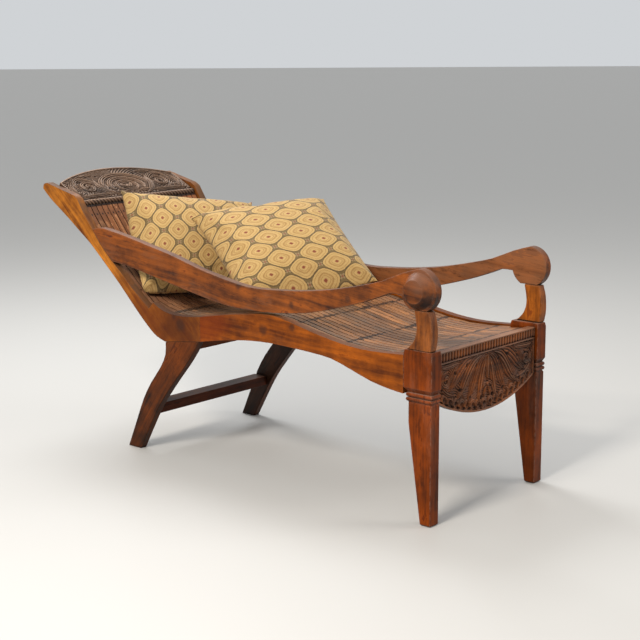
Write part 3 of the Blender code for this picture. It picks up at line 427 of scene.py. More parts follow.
rail_wood = wood("rail_wood", ORANGE, raked(2), swirl=1.4, worn=rgb(96, 70, 54), wear_and_sheen=0.85, weather=0.12,
                 patches=RAIL_PATCHES, gloss=0.12)
# Painted shade on the stiles' inside faces
stile_wood = wood("stile_wood", GOLDEN, raked(44), swirl=1.6, red_below=(0.44, 0.62),
                  inside=(rgb(92, 50, 26), 0.8), worn=rgb(80, 60, 46), wear_and_sheen=0.95, dust_and_sheen_from=0.05,
                  patches=STILE_PATCHES, gloss=0.12)
# Painted light on the arms' inside faces
arm_wood = wood("arm_wood", RED, raked(6), swirl=0.7, inside=(rgb(142, 98, 68), 0.48), worn=rgb(98, 76, 62),
                wear_and_sheen=0.75, weather=0.30, rub=0.008, marked=0.6, patches=ARM_PATCHES)
leg_wood = wood("leg_wood", LEG, UPRIGHT, swirl=0.7, worn=rgb(158, 126, 108), wear_and_sheen=0.60, weather=0.12,
                rub=0.006, marked=0.5, gloss=0.12)
post_wood = wood("post_wood", POST, UPRIGHT, swirl=0.7, wear_and_sheen=0.5, rub=0.009, marked=0.5)
# Painted shade on the rear legs' inside faces
sabre_wood = wood("sabre_wood", SABRE, raked(-54), swirl=0.9, inside=(rgb(14, 5, 2), 0.80), wear_and_sheen=0.3,
                  gloss=0.14)
bar_wood = wood("bar_wood", SHADED_BAR, ACROSS, wear_and_sheen=0.2, gloss=0.10)
hidden_wood = wood("hidden_wood", SABRE, ACROSS, wear_and_sheen=0.2, gloss=0.12)
slat_wood = wood("slat_wood", BROWN, raked(0), swirl=0.5, figure=1.4, by_slat=0.50, worn=rgb(130, 104, 84),
                 wear_and_sheen=0.5, marked=0.2, nails=SEAT_NAIL_ROWS)
back_slat_wood = wood("back_slat_wood", CHESTNUT, raked(42), swirl=0.5, figure=1.8, by_slat=0.40, wear_and_sheen=0.6,
                      marked=0.2, shaded=CREST_SHADE, nails=BACK_NAIL_ROWS, stained=0.2)
crest_wood = wood("crest_wood", DARK, ACROSS, swirl=0.8, worn=rgb(152, 122, 98), wear_and_sheen=0.75, grime_and_shade=0.9,
                  carved=0.60, shine=0.44)
apron_wood = wood("apron_wood", APRON, ACROSS, swirl=0.8, worn=rgb(142, 112, 90), wear_and_sheen=0.7, grime_and_shade=0.92,
                  carved=0.40)

NODE_WOOD = {
    "front_leg": leg_wood, "seat_rail": rail_wood, "back_stile": stile_wood, "rear_leg": sabre_wood,
    "armrest": arm_wood, "arm_post": post_wood, "seat_slat": slat_wood, "back_slats": back_slat_wood,
    "seat_batten": hidden_wood, "front_cleat": hidden_wood, "rear_rail": hidden_wood,
    "knee_rail": hidden_wood, "rear_stretcher": bar_wood, "front_apron": apron_wood, "crest_rail": crest_wood}

# How wide a piece's edges are rounded, by the start of its name, and the piece whose faces are shaded flat
USUAL_EASING = 0.0016
EASED = {"seat_slat": 0.0012, "back_slats": 0.0012, "crest_rail": 0.001, "front_apron": 0.001,
         "front_leg": 0.0009}
EASED_ANGLE = math.radians(28)
WELDED = 0.00002
CRISP = "front_leg"


def dress(node, material, eased):
    """Gives a frame piece its wood and eased edges."""
    node.data.materials.clear()
    node.data.materials.append(material)
    for polygon in node.data.polygons:
        polygon.use_smooth = True
        polygon.material_index = 0
    weld = node.modifiers.new("weld", "WELD")
    weld.merge_threshold = WELDED
    bevel = node.modifiers.new("eased", "BEVEL")
    bevel.width = eased
    bevel.segments = 2
    bevel.limit_method = "ANGLE"
    bevel.angle_limit = EASED_ANGLE
    if node.name.startswith(CRISP):
        for polygon in node.data.polygons:
            polygon.use_smooth = False
        return
    level = node.modifiers.new("level", "WEIGHTED_NORMAL")
    level.keep_sharp = False
    level.weight = 80


def dress_frame():
    """Gives every piece of the frame its wood."""
    for name, node in nodes.items():
        for stem, material in NODE_WOOD.items():
            if name.startswith(stem):
                dress(node, material, EASED.get(stem, USUAL_EASING))


def aim_camera():
    """The camera at the photographed angle."""
    level = math.cos(CAMERA_PITCH)
    forward = Vector((level * math.sin(CAMERA_YAW), level * math.cos(CAMERA_YAW), math.sin(CAMERA_PITCH)))
    level_right = Vector((math.cos(CAMERA_YAW), -math.sin(CAMERA_YAW), 0))
    level_up = level_right.cross(forward)
    right = level_right * math.cos(CAMERA_ROLL) + level_up * math.sin(CAMERA_ROLL)
    up = level_up * math.cos(CAMERA_ROLL) - level_right * math.sin(CAMERA_ROLL)
    data = bpy.data.cameras.new("camera")
    data.sensor_width = CAMERA_SENSOR
    data.lens = CAMERA_LENS
    data.clip_start, data.clip_end = 0.05, 60.0
    camera = bpy.data.objects.new("camera", data)
    scene.collection.objects.link(camera)
    turned = Matrix((right, up, -forward)).transposed().to_4x4()
    camera.matrix_world = Matrix.Translation(CAMERA_AT) @ turned
    scene.camera = camera


# The studio. A softbox is its place, what it points at, its side, its watts and its colour
FLOOR_SIZE = 80
FLOOR_COLOUR = rgb(194, 191, 186)
FLOOR_ROUGHNESS = 0.55
SKY_COLOUR = (0.90, 0.93, 0.96, 1.0)
SKY_STRENGTH = 0.70
SOFTBOXES = {
    "side_key": ((-3.4, -0.9, 3.3), (0, 0, 0.4), 1.0, 178, (1.0, 0.95, 0.88)),
    "front_fill": ((2.4, -3.8, 2.6), (0, -0.2, 0.4), 1.6, 45, (1.0, 0.96, 0.92)),
    "top": ((0.8, 1.8, 3.2), (0, 0.2, 0.4), 1.4, 80, (0.94, 0.97, 1.0))}


def soft_light(name, at, target, size, power, colour):
    """A square studio softbox."""
    data = bpy.data.lights.new(name, "AREA")
    data.size = size
    data.energy = power
    data.color = colour
    light = bpy.data.objects.new(name, data)
    scene.collection.objects.link(light)
    light.location = at
    light.rotation_mode = "QUATERNION"
    light.rotation_quaternion = (Vector(target) - Vector(at)).to_track_quat("-Z", "Y")


def studio():
    """A pale floor, an even sky and the softboxes."""
    mesh = bpy.data.meshes.new("floor")
    working = bmesh.new()
    bmesh.ops.create_grid(working, x_segments=1, y_segments=1, size=FLOOR_SIZE)
    working.to_mesh(mesh)
    working.free()
    floor = bpy.data.objects.new("floor", mesh)
    scene.collection.objects.link(floor)
    paint = Paint("floor_paint")
    paint.shader.inputs["Base Color"].default_value = FLOOR_COLOUR
    paint.shader.inputs["Roughness"].default_value = FLOOR_ROUGHNESS
    mesh.materials.append(paint.material)
    world = bpy.data.worlds.new("studio")
    scene.world = world
    world.use_nodes = True
    sky = world.node_tree.nodes["Background"]
    sky.inputs[0].default_value = SKY_COLOUR
    sky.inputs[1].default_value = SKY_STRENGTH
    for name, settings in SOFTBOXES.items():
        soft_light(name, *settings)


# Carved boards. Each is drawn on its face as (across, along) points in metres. One half is drawn and mirrored
BLOCK_WIDTH = 0.044
JOINT_GAP = 0.0003
APRON_HALF = HALF_WIDTH - BLOCK_WIDTH - 2 * JOINT_GAP
APRON_SIDE_DEPTH = 0.139
APRON_SAG = 0.062
APRON_TOP = BLOCK_TOP - 0.010
APRON_THICKNESS = 0.024
APRON_FACE_Y = FRONT_Y + 0.010
APRON_RIM = 0.0055
APRON_RIM_HEIGHT = 0.92
FILLET = 0.004
BAND_DEPTH = 0.030
BAND_LIP = 0.0035
FLUTE_PITCH = 0.0134
FLUTE_WIDTH = 0.82
FLUTE_END = 0.62
FLUTE_FOOT = 0.35
FLUTE_RISE = 0.60
EDGE_CURLS = 8
EDGE_CURL_FIRST = 0.014
EDGE_CURL_PITCH = 0.027
EDGE_CURL_INSET = 0.021
BEAD_HEIGHT = 0.126
BEAD_RADIUS = 0.0075
BEAD_RISE = 0.95
CREST_HALF = INNER_HALF - JOINT_GAP
CREST_SIDE_HEIGHT = 0.137
CREST_RISE = 0.065
CREST_THICKNESS = 0.026
CREST_NOSE = 0.012
CREST_TILT = math.radians(26.0)
CREST_FOOT = (FRONT_Y + 1.460, 0.785)
CREST_RIM = 0.0050
CREST_RIM_HEIGHT = 0.80
CREST_GROOVE = 0.0066
CREST_GROOVE_HEIGHT = 0.25
CREST_LIP = 0.004
ROPE_PITCH = 0.0142
ROPE_LEAN = 1.6
ROPE_CUT = 0.32
# How deep the rope's hollows count, for the painted shade laid in them
ROPE_SHADE = 1.15
ROPE_ARC = (-80, 150)
ROPE_ROWS = 28
CARVING_STEP = 0.0014
CARVING_DEPTH = 0.0100
# How deep the boards' backs and sides count, so that they take little painted shade and no painted highlight
BACK_HOLLOW = 0.35

# A leaf's section: how fast its ends narrow, how round its strands and its whole are, and its least height
LEAF_TAPER = 2.5
STRAND_POWER = 0.7
LEAF_POWER = 0.40
LEAF_LEAST = 0.12


def arc_height(x, half, side, rise):
    """The height of a shallow arc over a level line."""
    radius = (half ** 2 + rise ** 2) / (2 * rise)
    return side + rise - radius + np.sqrt(np.maximum(radius ** 2 - x ** 2, 0))


def bend(*points, steps=16):
    """Points along a Bezier curve."""
    row = [np.outer(np.ones(steps + 1), point) for point in points]
    t = np.linspace(0, 1, steps + 1)[:, None]
    while len(row) > 1:
        row = [a + (b - a) * t for a, b in zip(row, row[1:])]
    return row[0]


def curl(centre, radius, start, turns, steps=26, close=0.82):
    """Points along a spiral that closes in on its centre."""
    t = np.linspace(0, 1, steps + 1)
    angle = start + 2 * math.pi * turns * t
    reach = radius * (1 - close * t)
    return np.stack((centre[0] + reach * np.cos(angle), centre[1] + reach * np.sin(angle)), 1)


class Relief:
    """A height field over a board's face, raised stroke by stroke."""

    def __init__(self, across, along):
        self.across, self.along = np.abs(across), along
        self.height = np.zeros(across.shape)

    def raise_to(self, height):
        self.height = np.maximum(self.height, height)

    def frond(self, line, width, strands, ends=(0.3, 0.15), high=1.0, low=0.22):
        """A leaf of side-by-side strands along a line, laid over what is already there."""
        least = np.full(self.height.shape, 9.0)
        aside, place = np.zeros_like(least), np.zeros_like(least)
        count = len(line) - 1
        for k in range(count):
            start, step = line[k], line[k + 1] - line[k]
            dx, dy = self.across - start[0], self.along - start[1]
            share = np.clip((dx * step[0] + dy * step[1]) / max(step @ step, 1e-12), 0, 1)
            away = np.hypot(dx - share * step[0], dy - share * step[1])
            better = away < least
            least = np.where(better, away, least)
            aside = np.where(better, np.sign(dx * step[1] - dy * step[0]) * away, aside)
            place = np.where(better, (k + share) / count, place)
        begun, ended = ends[0] + LEAF_TAPER * place, ends[1] + LEAF_TAPER * (1 - place)
        over = aside / (width * np.minimum(1, np.minimum(begun, ended)))
        strand = np.abs(np.sin(math.pi * strands * (over + 1) / 2)) ** STRAND_POWER
        made = high * (low + (1 - low) * strand) * np.clip(1 - over ** 2, 0, 1) ** LEAF_POWER
        self.height = np.where(np.abs(over) < 1, np.maximum(made, LEAF_LEAST), self.height)

    def rings(self, centres, pitch, high):
        """Close rings around the nearest of several centres, over the whole face."""
        spans = [np.hypot((self.across - x) / wide, self.along - y) for x, y, wide in centres]
        nearest = np.minimum.reduce(spans)
        self.raise_to(high * np.abs(np.sin(math.pi * nearest / pitch)) ** STRAND_POWER)

    def pit(self, at, radius):
        """A deep hole."""
        self.height = np.where(np.hypot(self.across - at[0], self.along - at[1]) < radius, 0.0, self.height)


def carved_board(name, node, across, along, height, hollow, place, rim_back):
    """A closed board with a carved face, from a grid of points and the height over each."""
    rows, columns = across.shape
    points = [place(x, v, h) for x, v, h in zip(across.ravel(), along.ravel(), height.ravel())]
    ids = np.arange(rows * columns).reshape(rows, columns)
    faces = [(int(ids[r, c]), int(ids[r, c + 1]), int(ids[r + 1, c + 1]), int(ids[r + 1, c]))
             for r in range(rows - 1) for c in range(columns - 1)]
    carved_faces = len(faces)
    rim = [*ids[0, :-1], *ids[:-1, -1], *ids[-1, :0:-1], *ids[:0:-1, 0]]
    first = len(points)
    flat_across, flat_along = across.ravel(), along.ravel()
    points += [place(*rim_back(flat_across[k], flat_along[k])) for k in rim]
    for k in range(len(rim)):
        after = (k + 1) % len(rim)
        faces.append((int(rim[after]), int(rim[k]), first + k, first + after))
    faces.append(tuple(range(first, first + len(rim))))
    mesh = bpy.data.meshes.new(name)
    mesh.from_pydata(points, [], faces)
    # Each point's depth, from which the wood paints shade in the grooves and a highlight on the ridges
    cut = mesh.attributes.new("hollow", "FLOAT", "POINT")
    cut.data.foreach_set("value", [*np.clip(hollow, 0, 1).ravel(), *[BACK_HOLLOW] * len(rim)])
    working = bmesh.new()
    working.from_mesh(mesh)
    bmesh.ops.recalc_face_normals(working, faces=working.faces)
    working.to_mesh(mesh)
    working.free()
    for polygon in mesh.polygons[:carved_faces]:
        polygon.use_smooth = True
    piece = bpy.data.objects.new(name, mesh)
    scene.collection.objects.link(piece)
    mesh.materials.append(NODE_WOOD[node])
    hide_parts(node)
    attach(piece, "root")


def carve_apron():
    """The apron: a fluted band over falling leaves, side volutes and curls along the bowed edge."""
    columns = int(2 * APRON_HALF / CARVING_STEP)
    rows = int((APRON_SIDE_DEPTH + APRON_SAG) / CARVING_STEP)
    x = np.linspace(-APRON_HALF, APRON_HALF, columns)
    share = np.linspace(0, 1, rows)[:, None]
    bottom = arc_height(x, APRON_HALF, APRON_SIDE_DEPTH, APRON_SAG)
    across, down = np.broadcast_to(x, (rows, columns)), share * bottom
    relief = Relief(across, down)
    leaf, pit = relief.frond, relief.pit

    # The ground between the leaves
    relief.rings(((0.030, 0.070, 1.0), (0.105, 0.090, 1.4), (0.190, 0.080, 1.0), (0.160, 0.150, 1.0)),
                 0.0062, 0.5)

    # Curls along the bowed edge, each with two eyes
    for number in range(EDGE_CURLS):
        out = EDGE_CURL_FIRST + number * EDGE_CURL_PITCH
        edge = float(arc_height(np.array(out), APRON_HALF, APRON_SIDE_DEPTH, APRON_SAG))
        at = (out, edge - EDGE_CURL_INSET)
        leaf(curl(at, 0.0135, 0.30 * math.pi, -0.66, 16, 0.25), 0.0062, 2, (0.9, 0.4), 1.0, 0.45)
        pit(at, 0.0052)
        pit((at[0] + 0.0150, at[1] + 0.0070), 0.0042)

    # A volute at the side between two leaves
    leaf(bend((0.120, 0.043), (0.165, 0.040), (0.200, 0.052), (0.226, 0.040)), 0.0085, 3)
    leaf(bend((0.150, 0.132), (0.190, 0.125), (0.222, 0.110), (0.224, 0.060)), 0.0090, 3)
    leaf(curl((0.196, 0.083), 0.0215, -0.6 * math.pi, 1.35, 40, 0.80), 0.0066, 2, (0.5, 0.7), 1.0, 0.4)
    pit((0.196, 0.0835), 0.0030)
    pit((0.214, 0.105), 0.0045)
    pit((0.218, 0.062), 0.0040)

    # Leaves that fall from the band, the outer ones first
    leaf(bend((0.045, 0.040), (0.125, 0.038), (0.140, 0.095), (0.186, 0.118)), 0.0165, 3, high=0.85)
    leaf(bend((0.016, 0.040), (0.090, 0.040), (0.100, 0.120), (0.148, 0.146)), 0.0190, 4)
    leaf(bend((0.006, 0.040), (0.055, 0.050), (0.060, 0.130), (0.098, 0.164)), 0.0175, 4, high=0.80)
    leaf(bend((0.000, 0.044), (0.028, 0.070), (0.026, 0.130), (0.046, 0.176)), 0.0140, 3)
    for at in ((0.100, 0.056), (0.128, 0.122), (0.080, 0.152), (0.028, 0.162), (0.056, 0.062),
               (0.150, 0.070)):
        pit(at, 0.0056)

    # The middle: an upright leaf, two small ones and a bead
    leaf(bend((0.0, 0.040), (0.0, 0.070), (0.0, 0.112)), 0.0125, 3, (0.15, 0.15))
    leaf(bend((0.002, 0.126), (0.020, 0.118), (0.024, 0.140)), 0.0060, 2)
    leaf(bend((0.002, 0.134), (0.016, 0.142), (0.014, 0.164)), 0.0060, 2)
    from_bead = relief.across ** 2 + (down - BEAD_HEIGHT) ** 2
    relief.raise_to(BEAD_RISE * np.sqrt(np.clip(1 - from_bead / BEAD_RADIUS ** 2, 0, 1)))

    # The fluted band under the top edge, and plain rims
    flute = np.abs((relief.across / FLUTE_PITCH) % 1 - 0.5) * 2
    band_share = (down - FILLET) / (BAND_DEPTH - FILLET)
    round_end = np.clip((band_share - FLUTE_END) / (1 - FLUTE_END), 0, None)
    rounded = np.clip(1 - (flute / FLUTE_WIDTH) ** 2 - round_end ** 2, 0, 1)
    band = (down > FILLET) & (down < BAND_DEPTH)
    height = np.where(band, FLUTE_FOOT + FLUTE_RISE * np.sqrt(rounded), relief.height)
    lip = (down >= BAND_DEPTH) & (down < BAND_DEPTH + BAND_LIP)
    height = np.where((down < FILLET) | lip, 1.0, height)
    rim = np.minimum(bottom - down, (APRON_HALF - relief.across) * 1.2)
    rim_height = np.maximum(height, APRON_RIM_HEIGHT)
    height = np.where((rim < APRON_RIM) & (down > BAND_DEPTH), rim_height, height)
    depth = (np.clip(height, 0, 1) - 1) * CARVING_DEPTH

    def place(x, v, h):
        return (x, APRON_FACE_Y - h, APRON_TOP - v)

    carved_board("apron_carving", "front_apron", across, down, depth, -depth / CARVING_DEPTH, place,
                 lambda x, v: (x, v, -APRON_THICKNESS))


def carve_crest():
    """The crest: leaf scrolls under a plain arched border, and a rope moulding along its lower edge."""
    columns = int(2 * CREST_HALF / CARVING_STEP)
    rows = int((CREST_SIDE_HEIGHT + CREST_RISE) / CARVING_STEP)
    x = np.linspace(-CREST_HALF, CREST_HALF, columns)
    share = np.linspace(0, 1, rows)[1:, None]
    top = arc_height(x, CREST_HALF, CREST_SIDE_HEIGHT, CREST_RISE)
    up = 2 * CREST_NOSE + share * (top - 2 * CREST_NOSE)
    across = np.broadcast_to(x, up.shape)
    relief = Relief(across, up)
    leaf, pit = relief.frond, relief.pit

    # The ground between the leaves
    relief.rings(((0.0, 0.030, 1.6), (0.128, 0.096, 1.2), (0.215, 0.070, 1.0)), 0.0085, 0.5)

    # Three arches round a bead in the middle
    for reach, width, end in ((0.079, 0.0120, 1.75), (0.055, 0.0110, 2.0), (0.033, 0.0090, 2.3)):
        turn = np.linspace(-0.1, end, 25)
        arch = np.stack((1.30 * reach * np.sin(turn), 0.080 + reach * np.cos(turn)), 1)
        leaf(arch, width, 3, (1.0, 0.25), 1.0, 0.3)
    leaf(bend((0.004, 0.072), (0.020, 0.080), (0.022, 0.100)), 0.0070, 2)
    relief.raise_to(np.sqrt(np.clip(1 - (relief.across / 0.009) ** 2 - ((up - 0.080) / 0.010) ** 2, 0, 1)))

    # Leaves and a volute at each side
    leaf(bend((0.090, 0.046), (0.150, 0.040), (0.190, 0.042), (0.236, 0.038)), 0.0100, 3)
    leaf(bend((0.020, 0.042), (0.050, 0.052), (0.085, 0.050), (0.110, 0.036)), 0.0100, 3)
    leaf(bend((0.100, 0.168), (0.150, 0.170), (0.190, 0.140), (0.232, 0.128)), 0.0110, 3)
    leaf(bend((0.190, 0.140), (0.236, 0.120), (0.240, 0.080), (0.222, 0.052)), 0.0115, 4)
    leaf(bend((0.098, 0.070), (0.130, 0.170), (0.210, 0.160), (0.208, 0.092)), 0.0140, 4)
    leaf(curl((0.160, 0.092), 0.0330, 0.75 * math.pi, -1.35, 44, 0.80), 0.0085, 2, (0.6, 0.7), 1.0, 0.4)
    leaf(bend((0.060, 0.030), (0.110, 0.060), (0.124, 0.100), (0.112, 0.140)), 0.0120, 4)
    for at in ((0.084, 0.158), (0.134, 0.056), (0.196, 0.060), (0.160, 0.092), (0.186, 0.128),
               (0.010, 0.048)):
        pit(at, 0.0042)

    # The arched border and the groove inside it
    rim = np.minimum(top - up, (CREST_HALF - relief.across) * 1.1)
    height = np.where(rim < CREST_RIM, np.maximum(relief.height, CREST_RIM_HEIGHT), relief.height)
    height = np.where((rim >= CREST_RIM) & (rim < CREST_GROOVE), CREST_GROOVE_HEIGHT, height)
    depth = (np.clip(height, 0, 1) - 1) * CARVING_DEPTH
    depth = np.where(up < 2 * CREST_NOSE + CREST_LIP, -CARVING_DEPTH, depth)

    # The rope, rows of points round the nose
    turns = np.radians(np.linspace(*ROPE_ARC, ROPE_ROWS))[:, None]
    strand = np.abs(np.sin(math.pi * x / ROPE_PITCH + ROPE_LEAN * turns))
    reach = CREST_NOSE * (1 - ROPE_CUT * (1 - strand))
    hollow = np.concatenate((ROPE_SHADE * (1 - strand), -depth / CARVING_DEPTH))
    across = np.concatenate((np.broadcast_to(x, strand.shape), across))
    up = np.concatenate((CREST_NOSE - reach * np.cos(turns), up))
    depth = np.concatenate((reach * np.sin(turns) - CREST_NOSE, depth))
    sine, cosine = math.sin(CREST_TILT), math.cos(CREST_TILT)

    def place(x, v, h):
        return (x, CREST_FOOT[0] + v * cosine - h * sine, CREST_FOOT[1] + v * sine + h * cosine)

    carved_board("crest_carving", "crest_rail", across, up, depth, hollow, place,
                 lambda x, v: (x, max(v, CREST_NOSE), -CREST_THICKNESS + 0.0004))


# Pillows: the corners of the middle surface as in the frame, top left, top right, bottom right, bottom left,
# each as a share of the inner half width, metres behind the front legs and metres over the floor
PILLOWS = {
    "pillow_back": ((-0.535, 1.432, 0.825), (1.100, 1.190, 0.763), (0.474, 0.980, 0.494),
                    (-1.135, 1.190, 0.501)),
    "pillow_front": ((-0.290, 1.163, 0.747), (1.166, 0.878, 0.7995), (0.645, 0.529, 0.570),
                     (-0.930, 0.755, 0.525))}
PILLOW_SAG = {"pillow_back": 0.006, "pillow_front": 0.030}
PILLOW_SIDE = 0.46
PILLOW_THICKNESS = 0.165
PILLOW_CROWN = 2.6
PILLOW_FULLNESS = 0.62
PILLOW_DRAWN_IN = 0.010

# The grid of a pillow's points, whose lines crowd towards the rims: the shares of a sine and of even steps
PILLOW_CELLS = 44
CROWDED_SHARE = 0.55
EVEN_SHARE = 0.45

# The filling: how long the cloth moves and how far a point may go
FILLING_FRAMES = 20
PILLOW_MOVE = 0.012

# How far a cover may stand out of its solid: a share of what is left over a gap to the chair, within limits
SPARE_GAP = 0.010
SPARE_SHARE = 0.5
LEAST_PROUD = -0.0006
MOST_PROUD = 0.030


def pillow_shape(corners, sag):
    """The rows of an unfilled pillow's points: its front, its back, and their places on the cloth."""
    top_left, top_right, bottom_right, bottom_left = (
        np.array((x * INNER_HALF, FRONT_Y + y, z)) for x, y, z in corners)
    facing = np.cross(top_right - bottom_left, top_left - bottom_right)
    facing /= np.linalg.norm(facing)
    steps = np.linspace(-1, 1, PILLOW_CELLS + 1)
    steps = CROWDED_SHARE * np.sin(steps * math.pi / 2) + EVEN_SHARE * steps
    u, v = np.meshgrid(steps, steps)
    drawn = 2 * PILLOW_DRAWN_IN / PILLOW_SIDE
    across = ((1 + u * (1 - drawn * (1 - v * v))) / 2)[..., None]
    upward = ((1 + v * (1 - drawn * (1 - u * u))) / 2)[..., None]
    bottom = bottom_left + (bottom_right - bottom_left) * across
    top = top_left + (top_right - top_left) * across
    middle = bottom + (top - bottom) * upward
    middle[..., 2] -= sag * (1 - u * u) * (1 - upward[..., 0]) ** 2
    full = (1 - np.abs(u) ** PILLOW_CROWN) * (1 - np.abs(v) ** PILLOW_CROWN)
    full = np.clip(full, 0, 1) ** PILLOW_FULLNESS
    swell = full[..., None] * facing * PILLOW_THICKNESS / 2
    return middle + swell, middle - swell, np.stack((u, v), -1) * PILLOW_SIDE / 2


def pillow_mesh(name, corners, sag):
    """A closed mesh of two squares of cloth sewn together along their rims, with a UV map in metres."""
    front, back, places = pillow_shape(corners, sag)
    count = PILLOW_CELLS + 1
    front_ids = np.arange(count * count).reshape(count, count)
    back_ids = front_ids.copy()
    inner = np.zeros((count, count), bool)
    inner[1:-1, 1:-1] = True
    back_ids[inner] = count * count + np.arange(inner.sum())
    points = np.vstack((front.reshape(-1, 3), back[inner]))
    faces, cloth_places = [], []
    for ids, order, shift in ((front_ids, (0, 1, 2, 3), 0.0), (back_ids, (3, 2, 1, 0), 1.0)):
        for row in range(PILLOW_CELLS):
            for column in range(PILLOW_CELLS):
                cell = ((row, column), (row, column + 1), (row + 1, column + 1), (row + 1, column))
                faces.append([int(ids[cell[k]]) for k in order])
                cloth_places += [tuple(places[cell[k]] + shift) for k in order]
    mesh = bpy.data.meshes.new(name)
    mesh.from_pydata([tuple(p) for p in points], [], faces)
    layer = mesh.uv_layers.new(name="cloth")
    layer.data.foreach_set("uv", np.array(cloth_places, np.float32).ravel())
    return mesh


def surface_of(*names):
    """The faces of frame nodes as one tree."""
    working = bmesh.new()
    for name in names:
        working.from_mesh(nodes[name].data)
    tree = BVHTree.FromBMesh(working)
    working.free()
    return tree


def fill_pillow(piece):
    """Fills the cover by a cloth simulation and gives back where its points went."""
    cloth = piece.modifiers.new("cloth", "CLOTH")
    cloth.settings.quality = 6
    cloth.settings.mass = 0.25
    cloth.settings.tension_stiffness = 12
    cloth.settings.compression_stiffness = 12
    cloth.settings.shear_stiffness = 4
    cloth.settings.bending_stiffness = 0.4
    cloth.settings.use_pressure = True
    cloth.settings.uniform_pressure_force = 4.0
    cloth.settings.effector_weights.gravity = 0.0
    cloth.collision_settings.use_collision = False
    cloth.collision_settings.use_self_collision = False
    cloth.point_cache.frame_start, cloth.point_cache.frame_end = 1, FILLING_FRAMES
    for number in range(1, FILLING_FRAMES + 1):
        scene.frame_set(number)
    filled = piece.evaluated_get(bpy.context.evaluated_depsgraph_get())
    moved = np.array([v.co for v in filled.data.vertices])
    piece.modifiers.remove(cloth)
    scene.frame_set(1)
    return moved


def pillow(name):
    """A filled pillow that keeps clear of the chair and of the other pillow."""
    mesh = pillow_mesh(name + "_cover", PILLOWS[name], PILLOW_SAG[name])
    piece = bpy.data.objects.new(name + "_cover", mesh)
    scene.collection.objects.link(piece)
    start = np.array([v.co for v in mesh.vertices])
    moved = fill_pillow(piece)
    step = moved - start
    length = np.linalg.norm(step, axis=1, keepdims=True)
    moved = start + step * np.minimum(1, PILLOW_MOVE / np.maximum(length, 1e-9))
    others = [n for n in nodes if n != name and not n.startswith("pillow")]
    others.append("pillow_front" if name == "pillow_back" else "pillow_back")
    chair, own = surface_of(*others), surface_of(name)
    for vertex, place in zip(mesh.vertices, moved):
        place = Vector(place)
        near, normal, _, _ = own.find_nearest(place)
        proud = (place - near).dot(normal)
        gap = chair.find_nearest(place)[3]
        allowed = min(max((gap - SPARE_GAP) * SPARE_SHARE, LEAST_PROUD), MOST_PROUD)
        vertex.co = near + normal * allowed if proud > allowed else place
    mesh.materials.append(medallion_cloth(name + "_cloth", *LATTICES[name]))
    for polygon in mesh.polygons:
        polygon.use_smooth = True
    finer = piece.modifiers.new("finer", "SUBSURF")
    finer.levels = finer.render_levels = 1
    finer.boundary_smooth = "PRESERVE_CORNERS"
    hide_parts(name)
    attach(piece, "root")


# The cloth's pattern on each pillow, a lattice of medallions: its two steps and its start, in metres, and how
# much the medallions come to a point
LATTICES = {
    "pillow_back": ((0.0463, -0.0557), (-0.0510, -0.0567), (-0.0770, -0.0075), -0.12),
    "pillow_front": ((0.0594, -0.0430), (-0.0522, -0.0480), (-0.0141, 0.0165), 0.14)}
ROUNDNESS = 3.3
TAN = rgb(196, 160, 98)
HONEY = rgb(158, 118, 62)
OLIVE = rgb(110, 90, 52)
UMBER = rgb(72, 56, 32)
RUST = rgb(128, 54, 34)
CROSS = rgb(150, 126, 88)
CROSS_EYE = rgb(132, 74, 52)
FLECK = rgb(140, 96, 56)

# A medallion's rings, from its centre to the lattice, as shares of a step
RINGS = ((0.0, RUST), (0.050, RUST), (0.085, TAN), (0.15, TAN), (0.17, HONEY), (0.19, TAN), (0.27, HONEY),
         (0.29, TAN), (0.37, TAN), (0.385, HONEY), (0.405, TAN), (0.462, TAN), (0.474, UMBER), (0.492, UMBER),
         (0.51, OLIVE))

# The crosses between the medallions, each measure from where the colour starts to where it is full, in steps
CROSS_WIDTH = (0.045, 0.025)
CROSS_LENGTH = (0.135, 0.115)
CROSS_EYE_SIZE = (0.045, 0.030)

# The weave, in waves to the metre, and the low and high of the noise that shows and its share of the colour
THREADS = 260.0
FOLDS = 15.0
FOLDS_DRAWN = (1, 1.6, 1)
WOBBLES = 160.0
WOBBLE_REACH = 0.05
WEAVE = (900, 900, 1)
WEAVE_SHOWS = (0.35, 0.65, 0.0, 0.35)
FLECKS = (420, 420, 1)
FLECKS_SHOW = (0.52, 0.68, 0.0, 0.38)


def from_medallion(paint, place, step_a, step_b, start):
    """How many steps a place on the cloth lies from the nearest medallion's middle, along each step."""
    (ax, ay), (bx, by) = step_a, step_b
    area = ax * by - ay * bx
    s = paint.math("SUBTRACT", paint.part(place, 0), start[0])
    t = paint.math("SUBTRACT", paint.part(place, 1), start[1])
    signed = []
    for cs, ct in ((by / area, -bx / area), (-ay / area, ax / area)):
        along = paint.math("MULTIPLY_ADD", s, cs, paint.math("MULTIPLY", t, ct))
        signed.append(paint.math("SUBTRACT", along, paint.math("ROUND", along)))
    return signed


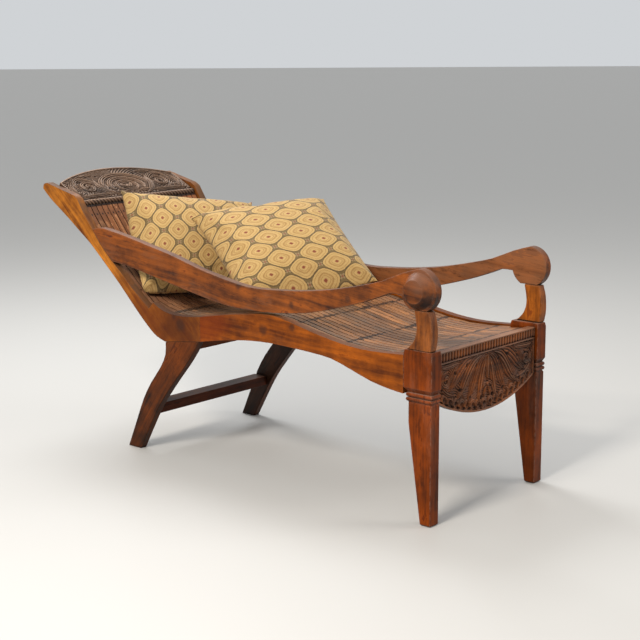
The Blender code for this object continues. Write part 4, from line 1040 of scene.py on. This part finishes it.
def woven_relief(paint, place, weave):
    """Threads both ways over soft folds."""
    threads = []
    for turn in (0.0, math.pi / 2):
        inputs = {"Vector": paint.mapped(place, turn=(0, 0, turn)), "Scale": THREADS, "Distortion": 0.6}
        threads.append(paint.node("TexWave", inputs).outputs[1])
    height = paint.math("MULTIPLY", paint.math("MAXIMUM", *threads), 0.6)
    height = paint.math("ADD", height, weave)
    folds = paint.noise(paint.mapped(place, scale=FOLDS_DRAWN), FOLDS, 2.0)
    folds = paint.node("Bump", {"Height": folds, "Strength": 0.6, "Distance": 0.010}).outputs[0]
    inputs = {"Height": height, "Strength": 0.4, "Distance": 0.0006, "Normal": folds}
    return paint.node("Bump", inputs).outputs[0]


def medallion_cloth(name, step_a, step_b, start, pointed):
    """Woven cloth with rounded tan medallions in an olive lattice, small crosses between them."""
    paint = Paint(name)
    place = paint.node("UVMap", {}, uv_map="cloth").outputs[0]
    signed = from_medallion(paint, place, step_a, step_b, start)
    steps = [paint.math("ABSOLUTE", step) for step in signed]
    powers = [paint.math("POWER", step, ROUNDNESS) for step in steps]
    reach = paint.math("POWER", paint.math("ADD", *powers), 1 / ROUNDNESS)
    lean = paint.math("DIVIDE", paint.math("MULTIPLY", *signed), paint.math("MAXIMUM", reach, 0.1))
    reach = paint.math("MULTIPLY_ADD", lean, pointed, reach)
    wobble = paint.noise(place, WOBBLES, 2.0)
    wobble = paint.math("MULTIPLY_ADD", wobble, WOBBLE_REACH, -WOBBLE_REACH / 2)
    colour = paint.ramp(paint.math("ADD", reach, wobble), *RINGS)
    far = [paint.math("SUBTRACT", 0.5, step) for step in steps]
    least = paint.math("MINIMUM", *far)
    most = paint.math("MAXIMUM", *far)
    cross = paint.math("MULTIPLY", paint.fit(least, *CROSS_WIDTH), paint.fit(most, *CROSS_LENGTH))
    colour = paint.mix(cross, colour, CROSS)
    colour = paint.mix(paint.fit(most, *CROSS_EYE_SIZE), colour, CROSS_EYE)
    weave = paint.noise(paint.mapped(place, scale=WEAVE), 1.0, 2.0)
    colour = paint.mix(paint.fit(weave, *WEAVE_SHOWS), colour, OLIVE)
    fleck = paint.noise(paint.mapped(place, scale=FLECKS), 1.0, 3.0)
    colour = paint.mix(paint.fit(fleck, *FLECKS_SHOW), colour, FLECK)
    paint.feed(paint.shader.inputs["Base Color"], colour)
    paint.shader.inputs["Roughness"].default_value = 0.85
    paint.shader.inputs["Sheen Weight"].default_value = 0.05
    paint.feed(paint.shader.inputs["Normal"], woven_relief(paint, place, weave))
    return paint.material


dress_frame()
carve_apron()
carve_crest()
for name in PILLOWS:
    pillow(name)
aim_camera()
studio()
scene.view_settings.view_transform = "Standard"
